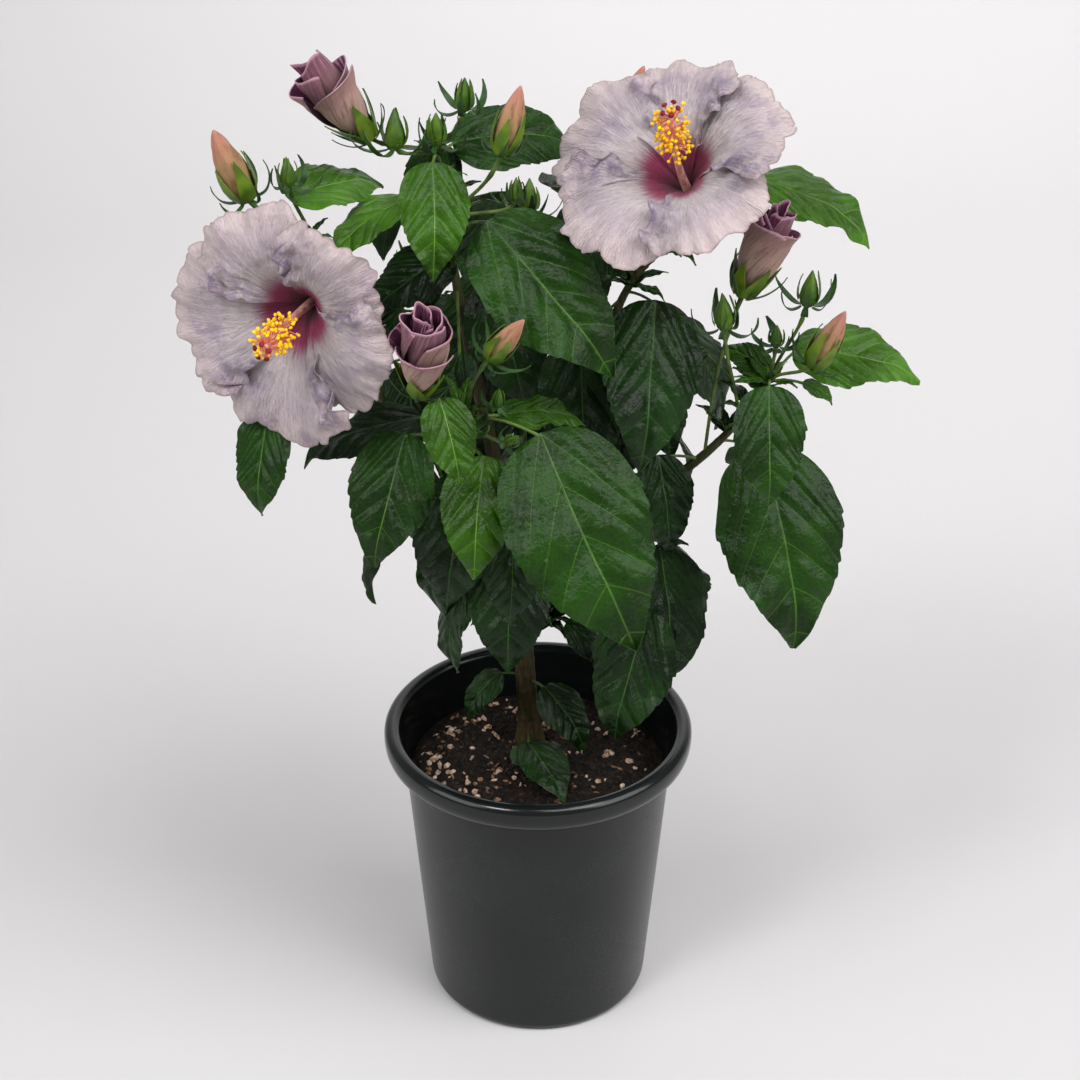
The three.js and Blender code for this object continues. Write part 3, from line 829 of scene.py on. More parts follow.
@dataclass(frozen=True)
class Pollen(Finish):
    """A flower's small parts: anthers, filaments, stigma and column."""

    name: str
    deep: Triple
    bright: Triple

    def sockets(self, graph: Graph) -> Sockets:
        """Gives the shader's sockets.

        Args:
            graph: the material's nodes.

        Returns:
            Each socket's constant or link, by its name.
        """
        grain = graph.noise(1600.0, 3.0)
        drift = graph.noise(240.0, 2.0)
        return {
            "Base Color": graph.mix(drift.spread(0.36, 0.64), self.deep, self.bright),
            "Roughness": grain * 0.2 + 0.55,
            "Specular IOR Level": 0.25,
            "Normal": graph.bump(grain, 0.5, 0.0005),
        }


@dataclass(frozen=True)
class BarkSkin(Finish):
    """Bark that is tan and corky on old wood and green on young.

    Attributes:
        name: the material's name.
        old: its darkest brown.
        pale: the colour of its ridges and pores.
        moss: the green that shows through.
        green: how much of it shows.
    """

    name: str
    old: Triple
    pale: Triple
    moss: Triple
    green: float

    def sockets(self, graph: Graph) -> Sockets:
        """Gives the shader's sockets.

        Args:
            graph: the material's nodes.

        Returns:
            Each socket's constant or link, by its name.
        """
        streaks = graph.noise(420.0, 5.0, graph.place((1.0, 1.0, 0.22)), 0.6)
        patches = graph.noise(60.0, 3.0)
        pores = 1.0 - graph.cells(330.0, graph.place((1.0, 1.0, 0.6))).spread(0.08, 0.22)
        wood = graph.mix(streaks.spread(0.38, 0.66), self.old, self.pale)
        wood = graph.mix(patches.spread(0.4, 0.65) * self.green, wood, self.moss)
        return {
            "Base Color": graph.mix(pores * 0.35, wood, self.pale),
            "Roughness": streaks * 0.25 + 0.5,
            "Specular IOR Level": 0.3,
            "Normal": graph.bump(streaks + pores * 0.5, 0.55, 0.0009),
        }


@dataclass(frozen=True)
class LeafSkin(Finish):
    """A leaf's skin, puckered between a midrib, curved side veins and a fine net.

    Attributes:
        name: the material's name.
        deep: its deepest green.
        bright: its brightest.
        vein: the midrib's colour.
        rough: how matt it is.
        gloss: how strongly it mirrors.
    """

    name: str
    deep: Triple
    bright: Triple
    vein: Triple
    rough: float
    gloss: float = 0.2

    def sockets(self, graph: Graph) -> Sockets:
        """Gives the shader's sockets.

        Args:
            graph: the material's nodes.

        Returns:
            Each socket's constant or link, by its name.
        """
        across, along, phase = graph.spot()
        wide = across.absolute()
        gap = phase.from_whole()
        inner = (1.0 - wide.spread(0.17, 0.29)) * phase.spread(-1.7, -0.5)
        side = (1.0 - gap.spread(0.004, 0.026)) * inner * 0.42
        middle = (1.0 - wide.spread(0.002, 0.006)) * (1.0 - along.spread(0.55, 1.0) * 0.6)
        net = graph.cells(260.0, feature="DISTANCE_TO_EDGE").spread(0.0, 0.2)
        patches = graph.noise(30.0, 3.0)
        cells = graph.noise(700.0, 3.0)
        dents = graph.noise(95.0, 2.0)
        colour = graph.mix(patches.spread(0.34, 0.68), self.deep, self.bright)
        colour = graph.mix((1.0 - net) * 0.05, colour, self.vein)
        pillow = gap.spread(0.0, 0.4) * wide.spread(0.0, 0.05) * phase.spread(-1.4, -0.3)
        return {
            "Base Color": graph.mix(side.most(middle), colour, self.vein),
            "Roughness": patches * 0.14 + cells * 0.12 + self.rough,
            "Specular IOR Level": self.gloss,
            "Normal": graph.bump(pillow * 1.5 + net * 0.15 + dents * 2.8, 0.55, 0.0016),
        }


@dataclass(frozen=True)
class GreenSkin(Finish):
    """Soft green tissue: veins, stalks, calyxes and bracts."""

    name: str
    deep: Triple
    bright: Triple
    rough: float = 0.45
    scale: float = 120.0

    def sockets(self, graph: Graph) -> Sockets:
        """Gives the shader's sockets.

        Args:
            graph: the material's nodes.

        Returns:
            Each socket's constant or link, by its name.
        """
        mottle = graph.noise(self.scale, 3.0)
        fibres = graph.noise(700.0, 2.0, graph.place((1.0, 1.0, 0.25)))
        return {
            "Base Color": graph.mix(mottle.spread(0.34, 0.68), self.deep, self.bright),
            "Roughness": mottle * 0.1 + self.rough,
            "Specular IOR Level": 0.4,
            "Normal": graph.bump(fibres, 0.25, 0.0005),
        }


@dataclass(frozen=True)
class PetalSkin(Finish):
    """A lilac petal with a crimson eye, pale rays, violet mottling, a pinkish margin, and violet painted
    into its crinkled folds as shade.
    """

    name: str = "petal"
    lilac: Triple = (0.45, 0.365, 0.41)
    grey: Triple = (0.33, 0.275, 0.315)
    blush: Triple = (0.6, 0.49, 0.475)
    # violet also paints the shade in the crinkled folds
    violet: Triple = (0.19, 0.135, 0.25)
    ray: Triple = (0.66, 0.58, 0.585)
    margin: Triple = (0.24, 0.14, 0.15)
    halo: Triple = (0.43, 0.22, 0.32)
    eye: Triple = (0.36, 0.022, 0.105)
    heart: Triple = (0.1, 0.003, 0.018)

    def sockets(self, graph: Graph) -> Sockets:
        """Gives the shader's sockets.

        Args:
            graph: the material's nodes.

        Returns:
            Each socket's constant or link, by its name.
        """
        across, along, fold = graph.spot()
        clouds = graph.noise(30.0, 4.0)
        spot = graph.add("ShaderNodeCombineXYZ", None, {0: across * 9.0, 1: along * 1.1, 2: 0.0})
        rays = graph.noise(3.2, 4.0, spot, 0.65)
        fine = graph.noise(11.0, 3.0, spot)
        crinkle = graph.noise(170.0, 4.0, rough=0.6)
        patches = graph.noise(55.0, 4.0, rough=0.6)
        edge = along.spread(0.975, 1.0).most(((across * 0.5).from_whole() * 2.0).spread(0.965, 1.0))
        out = along + (rays - 0.5) * 0.26
        layers = (
            (along.spread(0.62, 1.0) * 0.75, self.blush),
            (rays.spread(0.48, 0.62) * (1.0 - along.spread(0.45, 0.98)) * 0.85, self.ray),
            ((1.0 - along.spread(0.38, 0.75)) * 0.75, self.ray),
            # Painted shade: violet darkens the crinkles where the petal folds.
            (fold * crinkle.spread(0.38, 0.58) * 0.85, self.violet),
            (fine.spread(0.52, 0.7) * 0.25, self.violet),
            (patches.spread(0.52, 0.68) * along.spread(0.3, 0.6) * 0.4, self.violet),
            (edge * 0.55, self.margin),
            ((1.0 - out.spread(0.3, 0.41)) * 0.5, self.halo),
            (1.0 - out.spread(0.25, 0.36), self.eye),
            (1.0 - out.spread(0.04, 0.24), self.heart),
        )
        colour = graph.mix(clouds.spread(0.36, 0.66), self.lilac, self.grey)
        for share, over in layers:
            colour = graph.mix(share, colour, over)
        return {
            "Base Color": colour,
            "Roughness": clouds * 0.12 + 0.5,
            "Specular IOR Level": 0.25,
            "Sheen Weight": 0.15,
            "Sheen Roughness": 0.5,
            "Normal": graph.bump(rays * 0.8 + fine * 1.1 + crinkle * (fold * 3.4 + 1.0), 1.0, 0.0015),
        }


@dataclass(frozen=True)
class FurledSkin(Finish):
    """A furled petal with lengthwise ribs: the colours of its outer side, tip and inner side, and a pale
    colour for its streaks and lips that is partly painted highlight, with painted shade on the inner side
    towards its foot.
    """

    name: str
    outer: Triple
    tip: Triple
    inner: Triple
    streak_and_highlight: Triple

    def sockets(self, graph: Graph) -> Sockets:
        """Gives the shader's sockets.

        Args:
            graph: the material's nodes.

        Returns:
            Each socket's constant or link, by its name.
        """
        across, along, inside = graph.spot()
        spot = graph.add("ShaderNodeCombineXYZ", None, {0: across * 3.2, 1: along * 0.7, 2: inside})
        ribs = graph.noise(3.2, 5.0, spot, 0.62)
        clouds = graph.noise(90.0, 3.0)
        streaks = ribs.spread(0.5, 0.66)
        outside = graph.mix(along.spread(0.35, 1.0), self.outer, self.tip)
        outside = graph.mix(streaks * 0.7, outside, shade(self.tip, 0.4))
        # The pale streaks inside are partly painted highlight on the crumpled inner faces.
        within = graph.mix(streaks * 0.8, self.inner, self.streak_and_highlight)
        # Painted shade: the inner side darkens towards its foot, deep inside the bud.
        within = graph.mix(1.0 - along.spread(0.55, 0.92), within, shade(self.inner, 0.5))
        colour = graph.mix(inside, outside, within)
        # Painted highlight: the lips at the tips turn pale.
        colour = graph.mix(along.spread(0.95, 0.99) * 0.85, colour, self.streak_and_highlight)
        return {
            "Base Color": graph.mix(clouds.spread(0.45, 0.75) * 0.2, colour, shade(self.outer, 0.7)),
            "Roughness": clouds * 0.1 + 0.5,
            "Specular IOR Level": 0.15,
            "Sheen Weight": 0.05,
            "Sheen Roughness": 0.5,
            "Normal": graph.bump(ribs + clouds * 0.4, 0.7, 0.0014),
        }


@dataclass(frozen=True)
class StudioPaper(Finish):
    """The pale floor and backdrop."""

    name: str = "studio paper"
    colour: Triple = (0.585, 0.574, 0.579)

    def sockets(self, graph: Graph) -> Sockets:
        """Gives the shader's sockets.

        Args:
            graph: the material's nodes.

        Returns:
            Each socket's constant or link, by its name.
        """
        return {
            "Base Color": graph.mix(graph.noise(3.0, 2.0), self.colour, shade(self.colour, 1.02)),
            "Roughness": 0.9,
            "Specular IOR Level": 0.1,
        }


# Leaf greens from darkest to palest; the darker ones, on leaves low, inside and at the back of the crown,
# are partly painted shade.
LEAF_SKINS = {
    Tint.DARK: LeafSkin(
        "dark leaf", (0.002, 0.01, 0.0012), (0.006, 0.03, 0.0018), (0.035, 0.1, 0.015), 0.25, 0.2
    ),
    Tint.MID: LeafSkin(
        "mid leaf", (0.0045, 0.02, 0.001), (0.0105, 0.047, 0.0018), (0.07, 0.17, 0.02), 0.26, 0.18
    ),
    Tint.YOUNG: LeafSkin(
        "young leaf", (0.012, 0.042, 0.0006), (0.026, 0.09, 0.001), (0.12, 0.25, 0.03), 0.22, 0.2
    ),
    Tint.FRESH: LeafSkin(
        "fresh leaf", (0.024, 0.078, 0.003), (0.055, 0.165, 0.008), (0.17, 0.3, 0.05), 0.24, 0.2
    ),
}
LEAF_BACK = LeafSkin("leaf underside", (0.02, 0.05, 0.015), (0.04, 0.09, 0.028), (0.1, 0.17, 0.06), 0.5)
VEIN_SKIN = GreenSkin("leaf vein", (0.018, 0.055, 0.008), (0.05, 0.11, 0.018))
STALK_SKIN = GreenSkin("green stalk", (0.035, 0.08, 0.008), (0.11, 0.18, 0.025))
CALYX_SKIN = GreenSkin("calyx", (0.05, 0.11, 0.004), (0.13, 0.21, 0.008), 0.42, 70.0)
GREEN_BUD_SKIN = GreenSkin("green bud", (0.028, 0.08, 0.004), (0.085, 0.17, 0.01), 0.4, 90.0)
BRACT_SKIN = GreenSkin("bract", (0.01, 0.036, 0.006), (0.03, 0.09, 0.012))
TWIG_SKIN = BarkSkin("young twig", (0.026, 0.024, 0.007), (0.075, 0.065, 0.02), (0.03, 0.055, 0.008), 0.8)
TRUNK_SKIN = BarkSkin("old bark", (0.027, 0.018, 0.007), (0.08, 0.054, 0.022), (0.034, 0.044, 0.007), 0.6)
# Each furled skin's last colour is the pale streak and lip colour, partly painted highlight.
MAUVE_SKIN = FurledSkin(
    "furled mauve petal", (0.36, 0.24, 0.19), (0.29, 0.16, 0.15), (0.1, 0.016, 0.06), (0.48, 0.26, 0.34)
)
SALMON_SKIN = FurledSkin(
    "furled salmon petal", (0.3, 0.2, 0.08), (0.42, 0.18, 0.13), (0.3, 0.13, 0.08), (0.46, 0.23, 0.17)
)


# ---------------------------------------------------------------- meshes


class Sheaf:
    """Faces gathered from many small surfaces, to become one joined piece."""

    def __init__(self) -> None:
        """Starts empty."""
        self.places: list[Array] = []
        self.spots: list[Array] = []
        self.faces: list[Array] = []
        self.slots: list[Array] = []
        self.count = 0

    def add(
        self,
        places: Array,
        faces: Array,
        slots: Array | int = 0,
        spots: Array | None = None,
    ) -> None:
        """Takes in a closed surface, turning it right way out.

        Args:
            places: its points, in millimetres.
            faces: four corners a face, the last one -1 on a triangle.
            slots: each face's material, or one for all.
            spots: each point's across, along and fold.
        """
        if self.volume(places, faces) < 0.0:
            quads = faces[:, 3] >= 0
            faces = faces.copy()
            faces[quads] = faces[quads][:, ::-1]
            faces[~quads, :3] = faces[~quads, :3][:, ::-1]
        self.places.append(places)
        self.spots.append(np.zeros_like(places) if spots is None else spots)
        self.faces.append(np.where(faces >= 0, faces + self.count, -1))
        self.slots.append(np.broadcast_to(slots, len(faces)))
        self.count += len(places)

    def add_tube(self, line: Array, radii: Array, sides: int, slot: int = 0) -> None:
        """Takes in a closed round skin over a line of points."""
        places, faces, spots = tube(line, radii, sides)
        self.add(places, faces, slot, spots)

    def add_sheet(
        self,
        grid: Array,
        thick: float,
        slots: tuple[int, int],
        spots: Array,
        under: Array | None = None,
    ) -> None:
        """Takes in a grid of points, thickened; its upper side is where across turns to along.

        Args:
            grid: the middle surface's points, rows by columns.
            thick: the thickness.
            slots: the upper side's material, and that of the rest.
            spots: the upper side's across, along and fold at each point.
            under: those of the under side, where they differ.
        """
        normal = np.cross(np.gradient(grid, axis=1), np.gradient(grid, axis=0))
        offset = unit(normal) * (thick / 2.0)
        places, faces, sides = slab(grid + offset, grid - offset)
        both = np.stack([spots, spots if under is None else under])
        self.add(places, faces, np.where(sides > 0, slots[1], slots[0]), both.reshape(-1, 3))

    @staticmethod
    def volume(places: Array, faces: Array) -> float:
        """Gives a closed surface's volume, negative if it's inside out.

        Args:
            places: its points.
            faces: four corners a face, the last one -1 on a triangle.

        Returns:
            The volume, in cubic millimetres.
        """
        middle = places.mean(axis=0)
        a, b, c = (places[faces[:, k]] - middle for k in range(3))
        total = np.einsum("ij,ij->i", a, np.cross(b, c)).sum()
        quads = faces[faces[:, 3] >= 0]
        a, b, c = (places[quads[:, k]] - middle for k in (0, 2, 3))
        return float(total + np.einsum("ij,ij->i", a, np.cross(b, c)).sum())

    def piece(self, name: str, materials: tuple[str, ...], crease: float = 50.0) -> bpy.types.Object:
        """Makes the object.

        Args:
            name: its name.
            materials: the name of the material in each slot.
            crease: the angle, in degrees, past which an edge stays sharp.

        Returns:
            The object, at the origin.
        """
        mesh = bpy.data.meshes.new(name)
        faces = [tuple(face[face >= 0]) for face in np.concatenate(self.faces)]
        mesh.from_pydata((np.concatenate(self.places) * MM).tolist(), [], faces)
        mesh.polygons.foreach_set("material_index", np.concatenate(self.slots).astype(np.int32))
        mesh.polygons.foreach_set("use_smooth", np.ones(len(faces), bool))
        spots = mesh.attributes.new("spot", "FLOAT_VECTOR", "POINT")
        spots.data.foreach_set("vector", np.concatenate(self.spots).astype(np.float32).ravel())
        for material in materials:
            mesh.materials.append(bpy.data.materials[material])
        mesh.set_sharp_from_angle(angle=math.radians(crease))
        mesh.update()
        piece = bpy.data.objects.new(name, mesh)
        bpy.context.scene.collection.objects.link(piece)
        return piece


def grid_faces(rows: int, columns: int, closed: bool = False) -> Array:
    """Numbers the faces of a grid of points.

    Args:
        rows: rows of points.
        columns: points in a row.
        closed: whether each row joins up with itself.

    Returns:
        The faces, four corners each.
    """
    row = np.arange(rows - 1)[:, None] * columns
    column = np.arange(columns if closed else columns - 1)[None, :]
    beside = (column + 1) % columns
    corners = [row + column, row + beside, row + columns + beside, row + columns + column]
    return np.stack([corner.ravel() for corner in np.broadcast_arrays(*corners)], axis=1)


def capped(rings: Array, ends: Array) -> tuple[Array, Array]:
    """Joins rings of points into a skin, with a fan of triangles over either end.

    Args:
        rings: the points, ring by ring.
        ends: the middle of the first fan and of the last.

    Returns:
        The points and the faces.
    """
    count, sides = rings.shape[:2]
    ring = np.arange(sides)
    beyond = (ring + 1) % sides
    last = (count - 1) * sides
    none = np.full(sides, -1)
    foot = np.stack([beyond, ring, np.full(sides, count * sides), none], axis=1)
    tip = np.stack([last + ring, last + beyond, np.full(sides, count * sides + 1), none], axis=1)
    faces = np.concatenate([grid_faces(count, sides, closed=True), foot, tip])
    return np.concatenate([rings.reshape(-1, 3), ends]), faces


def slab(upper: Array, lower: Array) -> Surface:
    """Closes two facing grids of points into a thin slab.

    Args:
        upper: the one side's points, rows by columns.
        lower: the other side's.

    Returns:
        The points, the faces, and for each face 0 on the upper side and 1 elsewhere.
    """
    rows, columns = upper.shape[:2]
    size = rows * columns
    top = grid_faces(rows, columns)
    number = np.arange(size).reshape(rows, columns)
    rim = np.concatenate([number[0, :], number[1:, -1], number[-1, -2::-1], number[-2:0:-1, 0]])
    after = np.roll(rim, -1)
    side = np.stack([after, rim, rim + size, after + size], axis=1)
    faces = np.concatenate([top, top[:, ::-1] + size, side])
    places = np.concatenate([upper.reshape(-1, 3), lower.reshape(-1, 3)])
    return places, faces, np.concatenate([np.zeros(len(top), int), np.ones(len(top) + len(side), int)])


def tube(places: Array, radii: Array, sides: int) -> Surface:
    """Wraps a line of points in a closed round skin.

    Args:
        places: the line.
        radii: its radius at each point.
        sides: points in a ring.

    Returns:
        The points, the faces, and each point's around, along and 0.
    """
    count = len(places)
    ways = unit(np.gradient(places, axis=0))
    beside = unit(np.cross(ways[0], UP if abs(ways[0][2]) < 0.9 else np.array([1.0, 0.0, 0.0])))
    rings = np.empty((count, sides, 3))
    around = np.arange(sides) * math.tau / sides
    for k in range(count):
        beside = unit(beside - ways[k] * beside.dot(ways[k]))
        other = np.cross(ways[k], beside)
        ring = np.cos(around)[:, None] * beside + np.sin(around)[:, None] * other
        rings[k] = places[k] + ring * np.reshape(radii[k], (-1, 1))
    share = np.repeat(np.linspace(0.0, 1.0, count), sides)
    spots = np.stack([np.tile(around / math.tau, count), share, np.zeros(count * sides)], axis=1)
    spots = np.concatenate([spots, [[0.5, 0.0, 0.0], [0.5, 1.0, 0.0]]])
    return *capped(rings, places[[0, -1]]), spots


def settle(piece: bpy.types.Object, slot: str, *nodes: str) -> None:
    """Puts a piece on the plant's one body, in place of its solids.

    Args:
        piece: the piece.
        slot: not used.
        *nodes: the solids that it stands for.
    """
    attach(piece, "root")
    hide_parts(*nodes)
    log.info("%s: %d faces", piece.name, len(piece.data.polygons))


def ripple(where: Array, seed: int, waves: int = 5) -> Array:
    """Gives a smooth random surface of sines, around 0 and mostly within 1.

    Args:
        where: the points that it's read at, in cycles.
        seed: what its chance starts from.
        waves: how many sines it sums.

    Returns:
        A value for each point.
    """
    draw = np.random.default_rng(seed)
    ways = unit(draw.normal(size=(waves, where.shape[-1])))
    turns = draw.uniform(0.6, 1.5, waves)
    phases = draw.uniform(0.0, math.tau, waves)
    return np.sin(math.tau * (where @ ways.T) * turns + phases).sum(axis=-1) / math.sqrt(waves)


# ---------------------------------------------------------------- scattered small parts


class Pattern(Enum):
    """What a scatter lays down: its node, that node's sizes, and how far it's raised, in metres."""

    CRUMB = ("GeometryNodeMeshIcoSphere", {"Radius": 0.001, "Subdivisions": 1}, 0.0)
    ANTHER = ("GeometryNodeMeshUVSphere", {"Radius": 0.00115, "Segments": 6, "Rings": 4}, 0.0078)
    FILAMENT = ("GeometryNodeMeshCylinder", {"Radius": 0.00026, "Vertices": 4, "Depth": 0.0078}, 0.0039)


@dataclass(frozen=True)
class Scatter:
    """Geometry Nodes that lay a small shape over a host at random.

    Attributes:
        pattern: the shape.
        density: how many to the square metre.
        least: the least size, on each axis.
        most: the greatest.
        tilt: how far each leans off the host's normal, in radians.
        seed: what its chance starts from.
    """

    pattern: Pattern
    density: float
    least: Triple
    most: Triple
    tilt: float
    seed: int

    def tree(self, name: str) -> tuple[bpy.types.NodeTree, dict[str, str]]:
        """Builds the node tree.

        Args:
            name: the tree's name.

        Returns:
            The tree, and the identifier of each named input.
        """
        tree = bpy.data.node_groups.new(name, "GeometryNodeTree")
        kinds = {
            "Host": "NodeSocketGeometry",
            "Density": "NodeSocketFloat",
            "Least": "NodeSocketVector",
            "Most": "NodeSocketVector",
            "Tilt": "NodeSocketFloat",
            "Seed": "NodeSocketInt",
            "Finish": "NodeSocketMaterial",
        }
        sockets = {
            label: tree.interface.new_socket(label, in_out="INPUT", socket_type=kind).identifier
            for label, kind in kinds.items()
        }
        tree.interface.new_socket("Result", in_out="OUTPUT", socket_type="NodeSocketGeometry")
        graph = Graph(tree)
        given = {label: graph.add("NodeGroupInput", None, None, label) for label in kinds}
        host = {"Mesh": given["Host"], "Density": given["Density"], "Seed": given["Seed"]}
        points = graph.add("GeometryNodeDistributePointsOnFaces", None, host, "Points")
        turned = Value(graph, points.socket.node.outputs["Rotation"])
        size = self.chance(graph, given["Least"], given["Most"], given["Seed"])
        lean = graph.add("ShaderNodeCombineXYZ", None, {0: given["Tilt"], 1: given["Tilt"], 2: math.pi})
        back = graph.add("ShaderNodeVectorMath", {"operation": "SCALE"}, {0: lean, "Scale": -1.0})
        turn = self.chance(graph, back, lean, given["Seed"])
        spin = graph.add("FunctionNodeEulerToRotation", None, {0: turn})
        turns = {"Rotation": turned, "Rotate By": spin}
        stance = graph.add("FunctionNodeRotateRotation", {"rotation_space": "LOCAL"}, turns)
        node, sizes, raised = self.pattern.value
        shape = graph.add(node, None, sizes, "Mesh")
        moved = {"Geometry": shape, "Translation": (0.0, 0.0, raised)}
        shape = graph.add("GeometryNodeTransform", None, moved, "Geometry")
        instances = {"Points": points, "Instance": shape, "Rotation": stance, "Scale": size}
        laid = graph.add("GeometryNodeInstanceOnPoints", None, instances)
        real = graph.add("GeometryNodeRealizeInstances", None, {"Geometry": laid})
        done = graph.add("GeometryNodeSetMaterial", None, {"Geometry": real, "Material": given["Finish"]})
        graph.add("NodeGroupOutput", None, {"Result": done})
        return tree, sockets

    @staticmethod
    def chance(graph: Graph, least: Value, most: Value, seed: Value) -> Value:
        """Adds a random vector between two."""
        inputs = {"Min": least, "Max": most, "Seed": seed}
        return graph.add("FunctionNodeRandomValue", {"data_type": "FLOAT_VECTOR"}, inputs, "Value")

    def over(self, host: bpy.types.Object, finish: bpy.types.Material) -> bpy.types.Object:
        """Turns a host into the shapes laid over it.

        Args:
            host: a mesh that only marks where they go.
            finish: their material.

        Returns:
            The same object, as a plain mesh of the shapes.
        """
        tree, sockets = self.tree(host.name + " scatter")
        modifier = host.modifiers.new("scatter", "NODES")
        modifier.node_group = tree
        settings = {
            "Density": self.density,
            "Least": self.least,
            "Most": self.most,
            "Tilt": self.tilt,
            "Seed": self.seed,
            "Finish": finish,
        }
        for label, setting in settings.items():
            modifier[sockets[label]] = setting
        evaluated = host.evaluated_get(bpy.context.evaluated_depsgraph_get())
        mesh = bpy.data.meshes.new_from_object(evaluated)
        host.modifiers.clear()
        host.data = mesh
        return host


# ---------------------------------------------------------------- leaves

LEAF_THICK = 0.45
TEETH_FROM = 0.3
TEETH_TO = 0.95
SMOOTH_ROWS = 9
# A tooth's edge: the share of its stretch of margin, and how far out it stands.
TOOTH_STEPS = ((0.0, 0.0), (0.35, 0.45), (0.65, 0.85), (0.88, 1.0))
TOOTH_DEPTH = 0.055
SIDE_VEINS = 4.4
PUCKER = 0.012
MARGIN_WAVE = 0.03
DIMPLES = 0.008
TIP_DROOP = 0.1
SWAY = 0.025
TWIST = 0.14
MIDRIB_RADII = (0.0052, 0.0016)
LEAF_MATERIALS = (*(LEAF_SKINS[tint].name for tint in Tint), LEAF_BACK.name, VEIN_SKIN.name)
BACK_SLOT = len(Tint)
VEIN_SLOT = BACK_SLOT + 1


def vein_phase(wide: Array, along: Array) -> Array:
    """Numbers a blade's side veins, so that each lies where the number is whole.

    Args:
        wide: the distance from the midrib, over the blade's length.
        along: the share of its length.

    Returns:
        The number at each point.
    """
    off = np.abs(wide)
    return SIDE_VEINS * (along - 1.55 * off - 1.1 * off**2) / (1.0 - 1.3 * off)


@dataclass(frozen=True)
class Leaf:
    """A toothed blade, puckered between its veins, with a raised midrib.

    Attributes:
        blade: where it stands and how it's turned.
        seed: what its chance starts from.
        columns: points across it.
        slim: its width over the usual.
        teeth: how many teeth each margin has.
    """

    blade: Blade
    seed: int
    columns: int = 15
    slim: float = 1.0
    teeth: int = 8

    @property
    def rows(self) -> tuple[Array, Array]:
        """The shares of the length that rows lie at, and how far out the teeth stand at each.

        Returns:
            The rows' shares, and the teeth's heights from 0 to 1.
        """
        draw = np.random.default_rng(self.seed + 7)
        gaps = draw.uniform(0.7, 1.3, self.teeth)
        sizes = draw.uniform(0.5, 1.2, self.teeth)
        ends = TEETH_FROM + (TEETH_TO - TEETH_FROM) * np.append(0.0, np.cumsum(gaps) / gaps.sum())
        steps = np.array(TOOTH_STEPS)
        places = ends[:-1, None] + steps[:, 0] * np.diff(ends)[:, None]
        heights = sizes[:, None] * steps[:, 1]
        smooth = TEETH_FROM * np.linspace(0.0, 1.0, SMOOTH_ROWS, endpoint=False) ** 1.4
        rows = np.concatenate([smooth, places.ravel(), [TEETH_TO, 0.98, 1.0]])
        return rows, np.concatenate([np.zeros(SMOOTH_ROWS), heights.ravel(), np.zeros(3)])

    def surface(self) -> tuple[Array, Array]:
        """Works out the middle surface.

        Returns:
            Its points, rows by columns, and for each the distance from the midrib and the share of the
            length, both over the length, and its vein phase.
        """
        long = self.blade.long
        along, teeth = self.rows
        side, share = np.meshgrid(np.linspace(-1.0, 1.0, self.columns), along)
        phases = np.random.default_rng(self.seed).uniform(0.0, math.tau, 6)
        point = 1.0 - 0.22 * ease(share, 0.72, 0.98)
        half = np.maximum(0.5, long * BLADE_WIDTH * self.slim * Blade.outline(share) * point)
        wide = side * half * (1.0 + TOOTH_DEPTH * teeth[:, None] * np.abs(side) ** 9)
        phase = vein_phase(wide / long, share)
        pillow = np.abs(np.sin(math.pi * phase)) * ease(np.abs(wide) / long, 0.0, 0.06)
        pillow *= ease(phase, -1.2, -0.1)
        lift = BLADE_ARCH * long * 4.0 * share * (1.0 - share) - BLADE_DROP * half * side**2
        lift += PUCKER * long * pillow * (1.0 - 0.5 * np.abs(side)) + 0.13 * half * np.abs(side)
        turn = np.where(side > 0.0, phases[0], phases[1])
        sway = np.sin(math.tau * share * 1.7 + turn) + 0.45 * np.sin(math.tau * share * 4.1 + phases[2])
        lift += MARGIN_WAVE * long * sway * np.abs(side) ** 2.2 * ease(share, 0.0, 0.25)
        dimples = ripple(np.stack([wide / long * 3.2 + self.seed, share * 3.2], axis=-1), self.seed, 6)
        lift += DIMPLES * long * dimples * ease(share, 0.0, 0.2)
        lift -= TIP_DROOP * long * (np.maximum(0.0, share - 0.7) / 0.3) ** 2
        bend = SWAY * long * math.sin(phases[3]) * np.sin(math.pi * share)
        midrib, level, upper = self.blade.axes
        twist = TWIST * math.sin(phases[4]) * share
        places = np.array(self.blade.stands) + (share * long)[..., None] * midrib
        places = places + (wide + bend)[..., None] * level + (lift + wide * twist)[..., None] * upper
        return places, np.stack([wide / long, share, phase], axis=-1)

    def add_to(self, sheaf: Sheaf) -> None:
        """Adds the blade and its midrib to a sheaf of leaves.

        Args:
            sheaf: what they're added to.
        """
        places, spots = self.surface()
        sheaf.add_sheet(places, LEAF_THICK, (self.blade.tint.value, BACK_SLOT), spots)
        line = places[:-4, self.columns // 2]
        radii = np.linspace(*MIDRIB_RADII, len(line)) * self.blade.long
        sheaf.add_tube(line, radii, 6, VEIN_SLOT)


# ---------------------------------------------------------------- flowers

PETAL_COUNT = 5
PETAL_THICK = 0.55
PETAL_ROWS = 44
PETAL_COLUMNS = 61
PETAL_FOOT = 2.4
PETAL_SPREAD = 0.74
OVERLAP = 6.0
CRUMPLE = 1.9
EDGE_CURL = 2.6
BROAD_WAVE = 2.6
RIM_WAVES = (2.5, 1.3)
RIBS = 0.32
COLUMN_FOOT = 18.0
COLUMN_TIP = 90.0
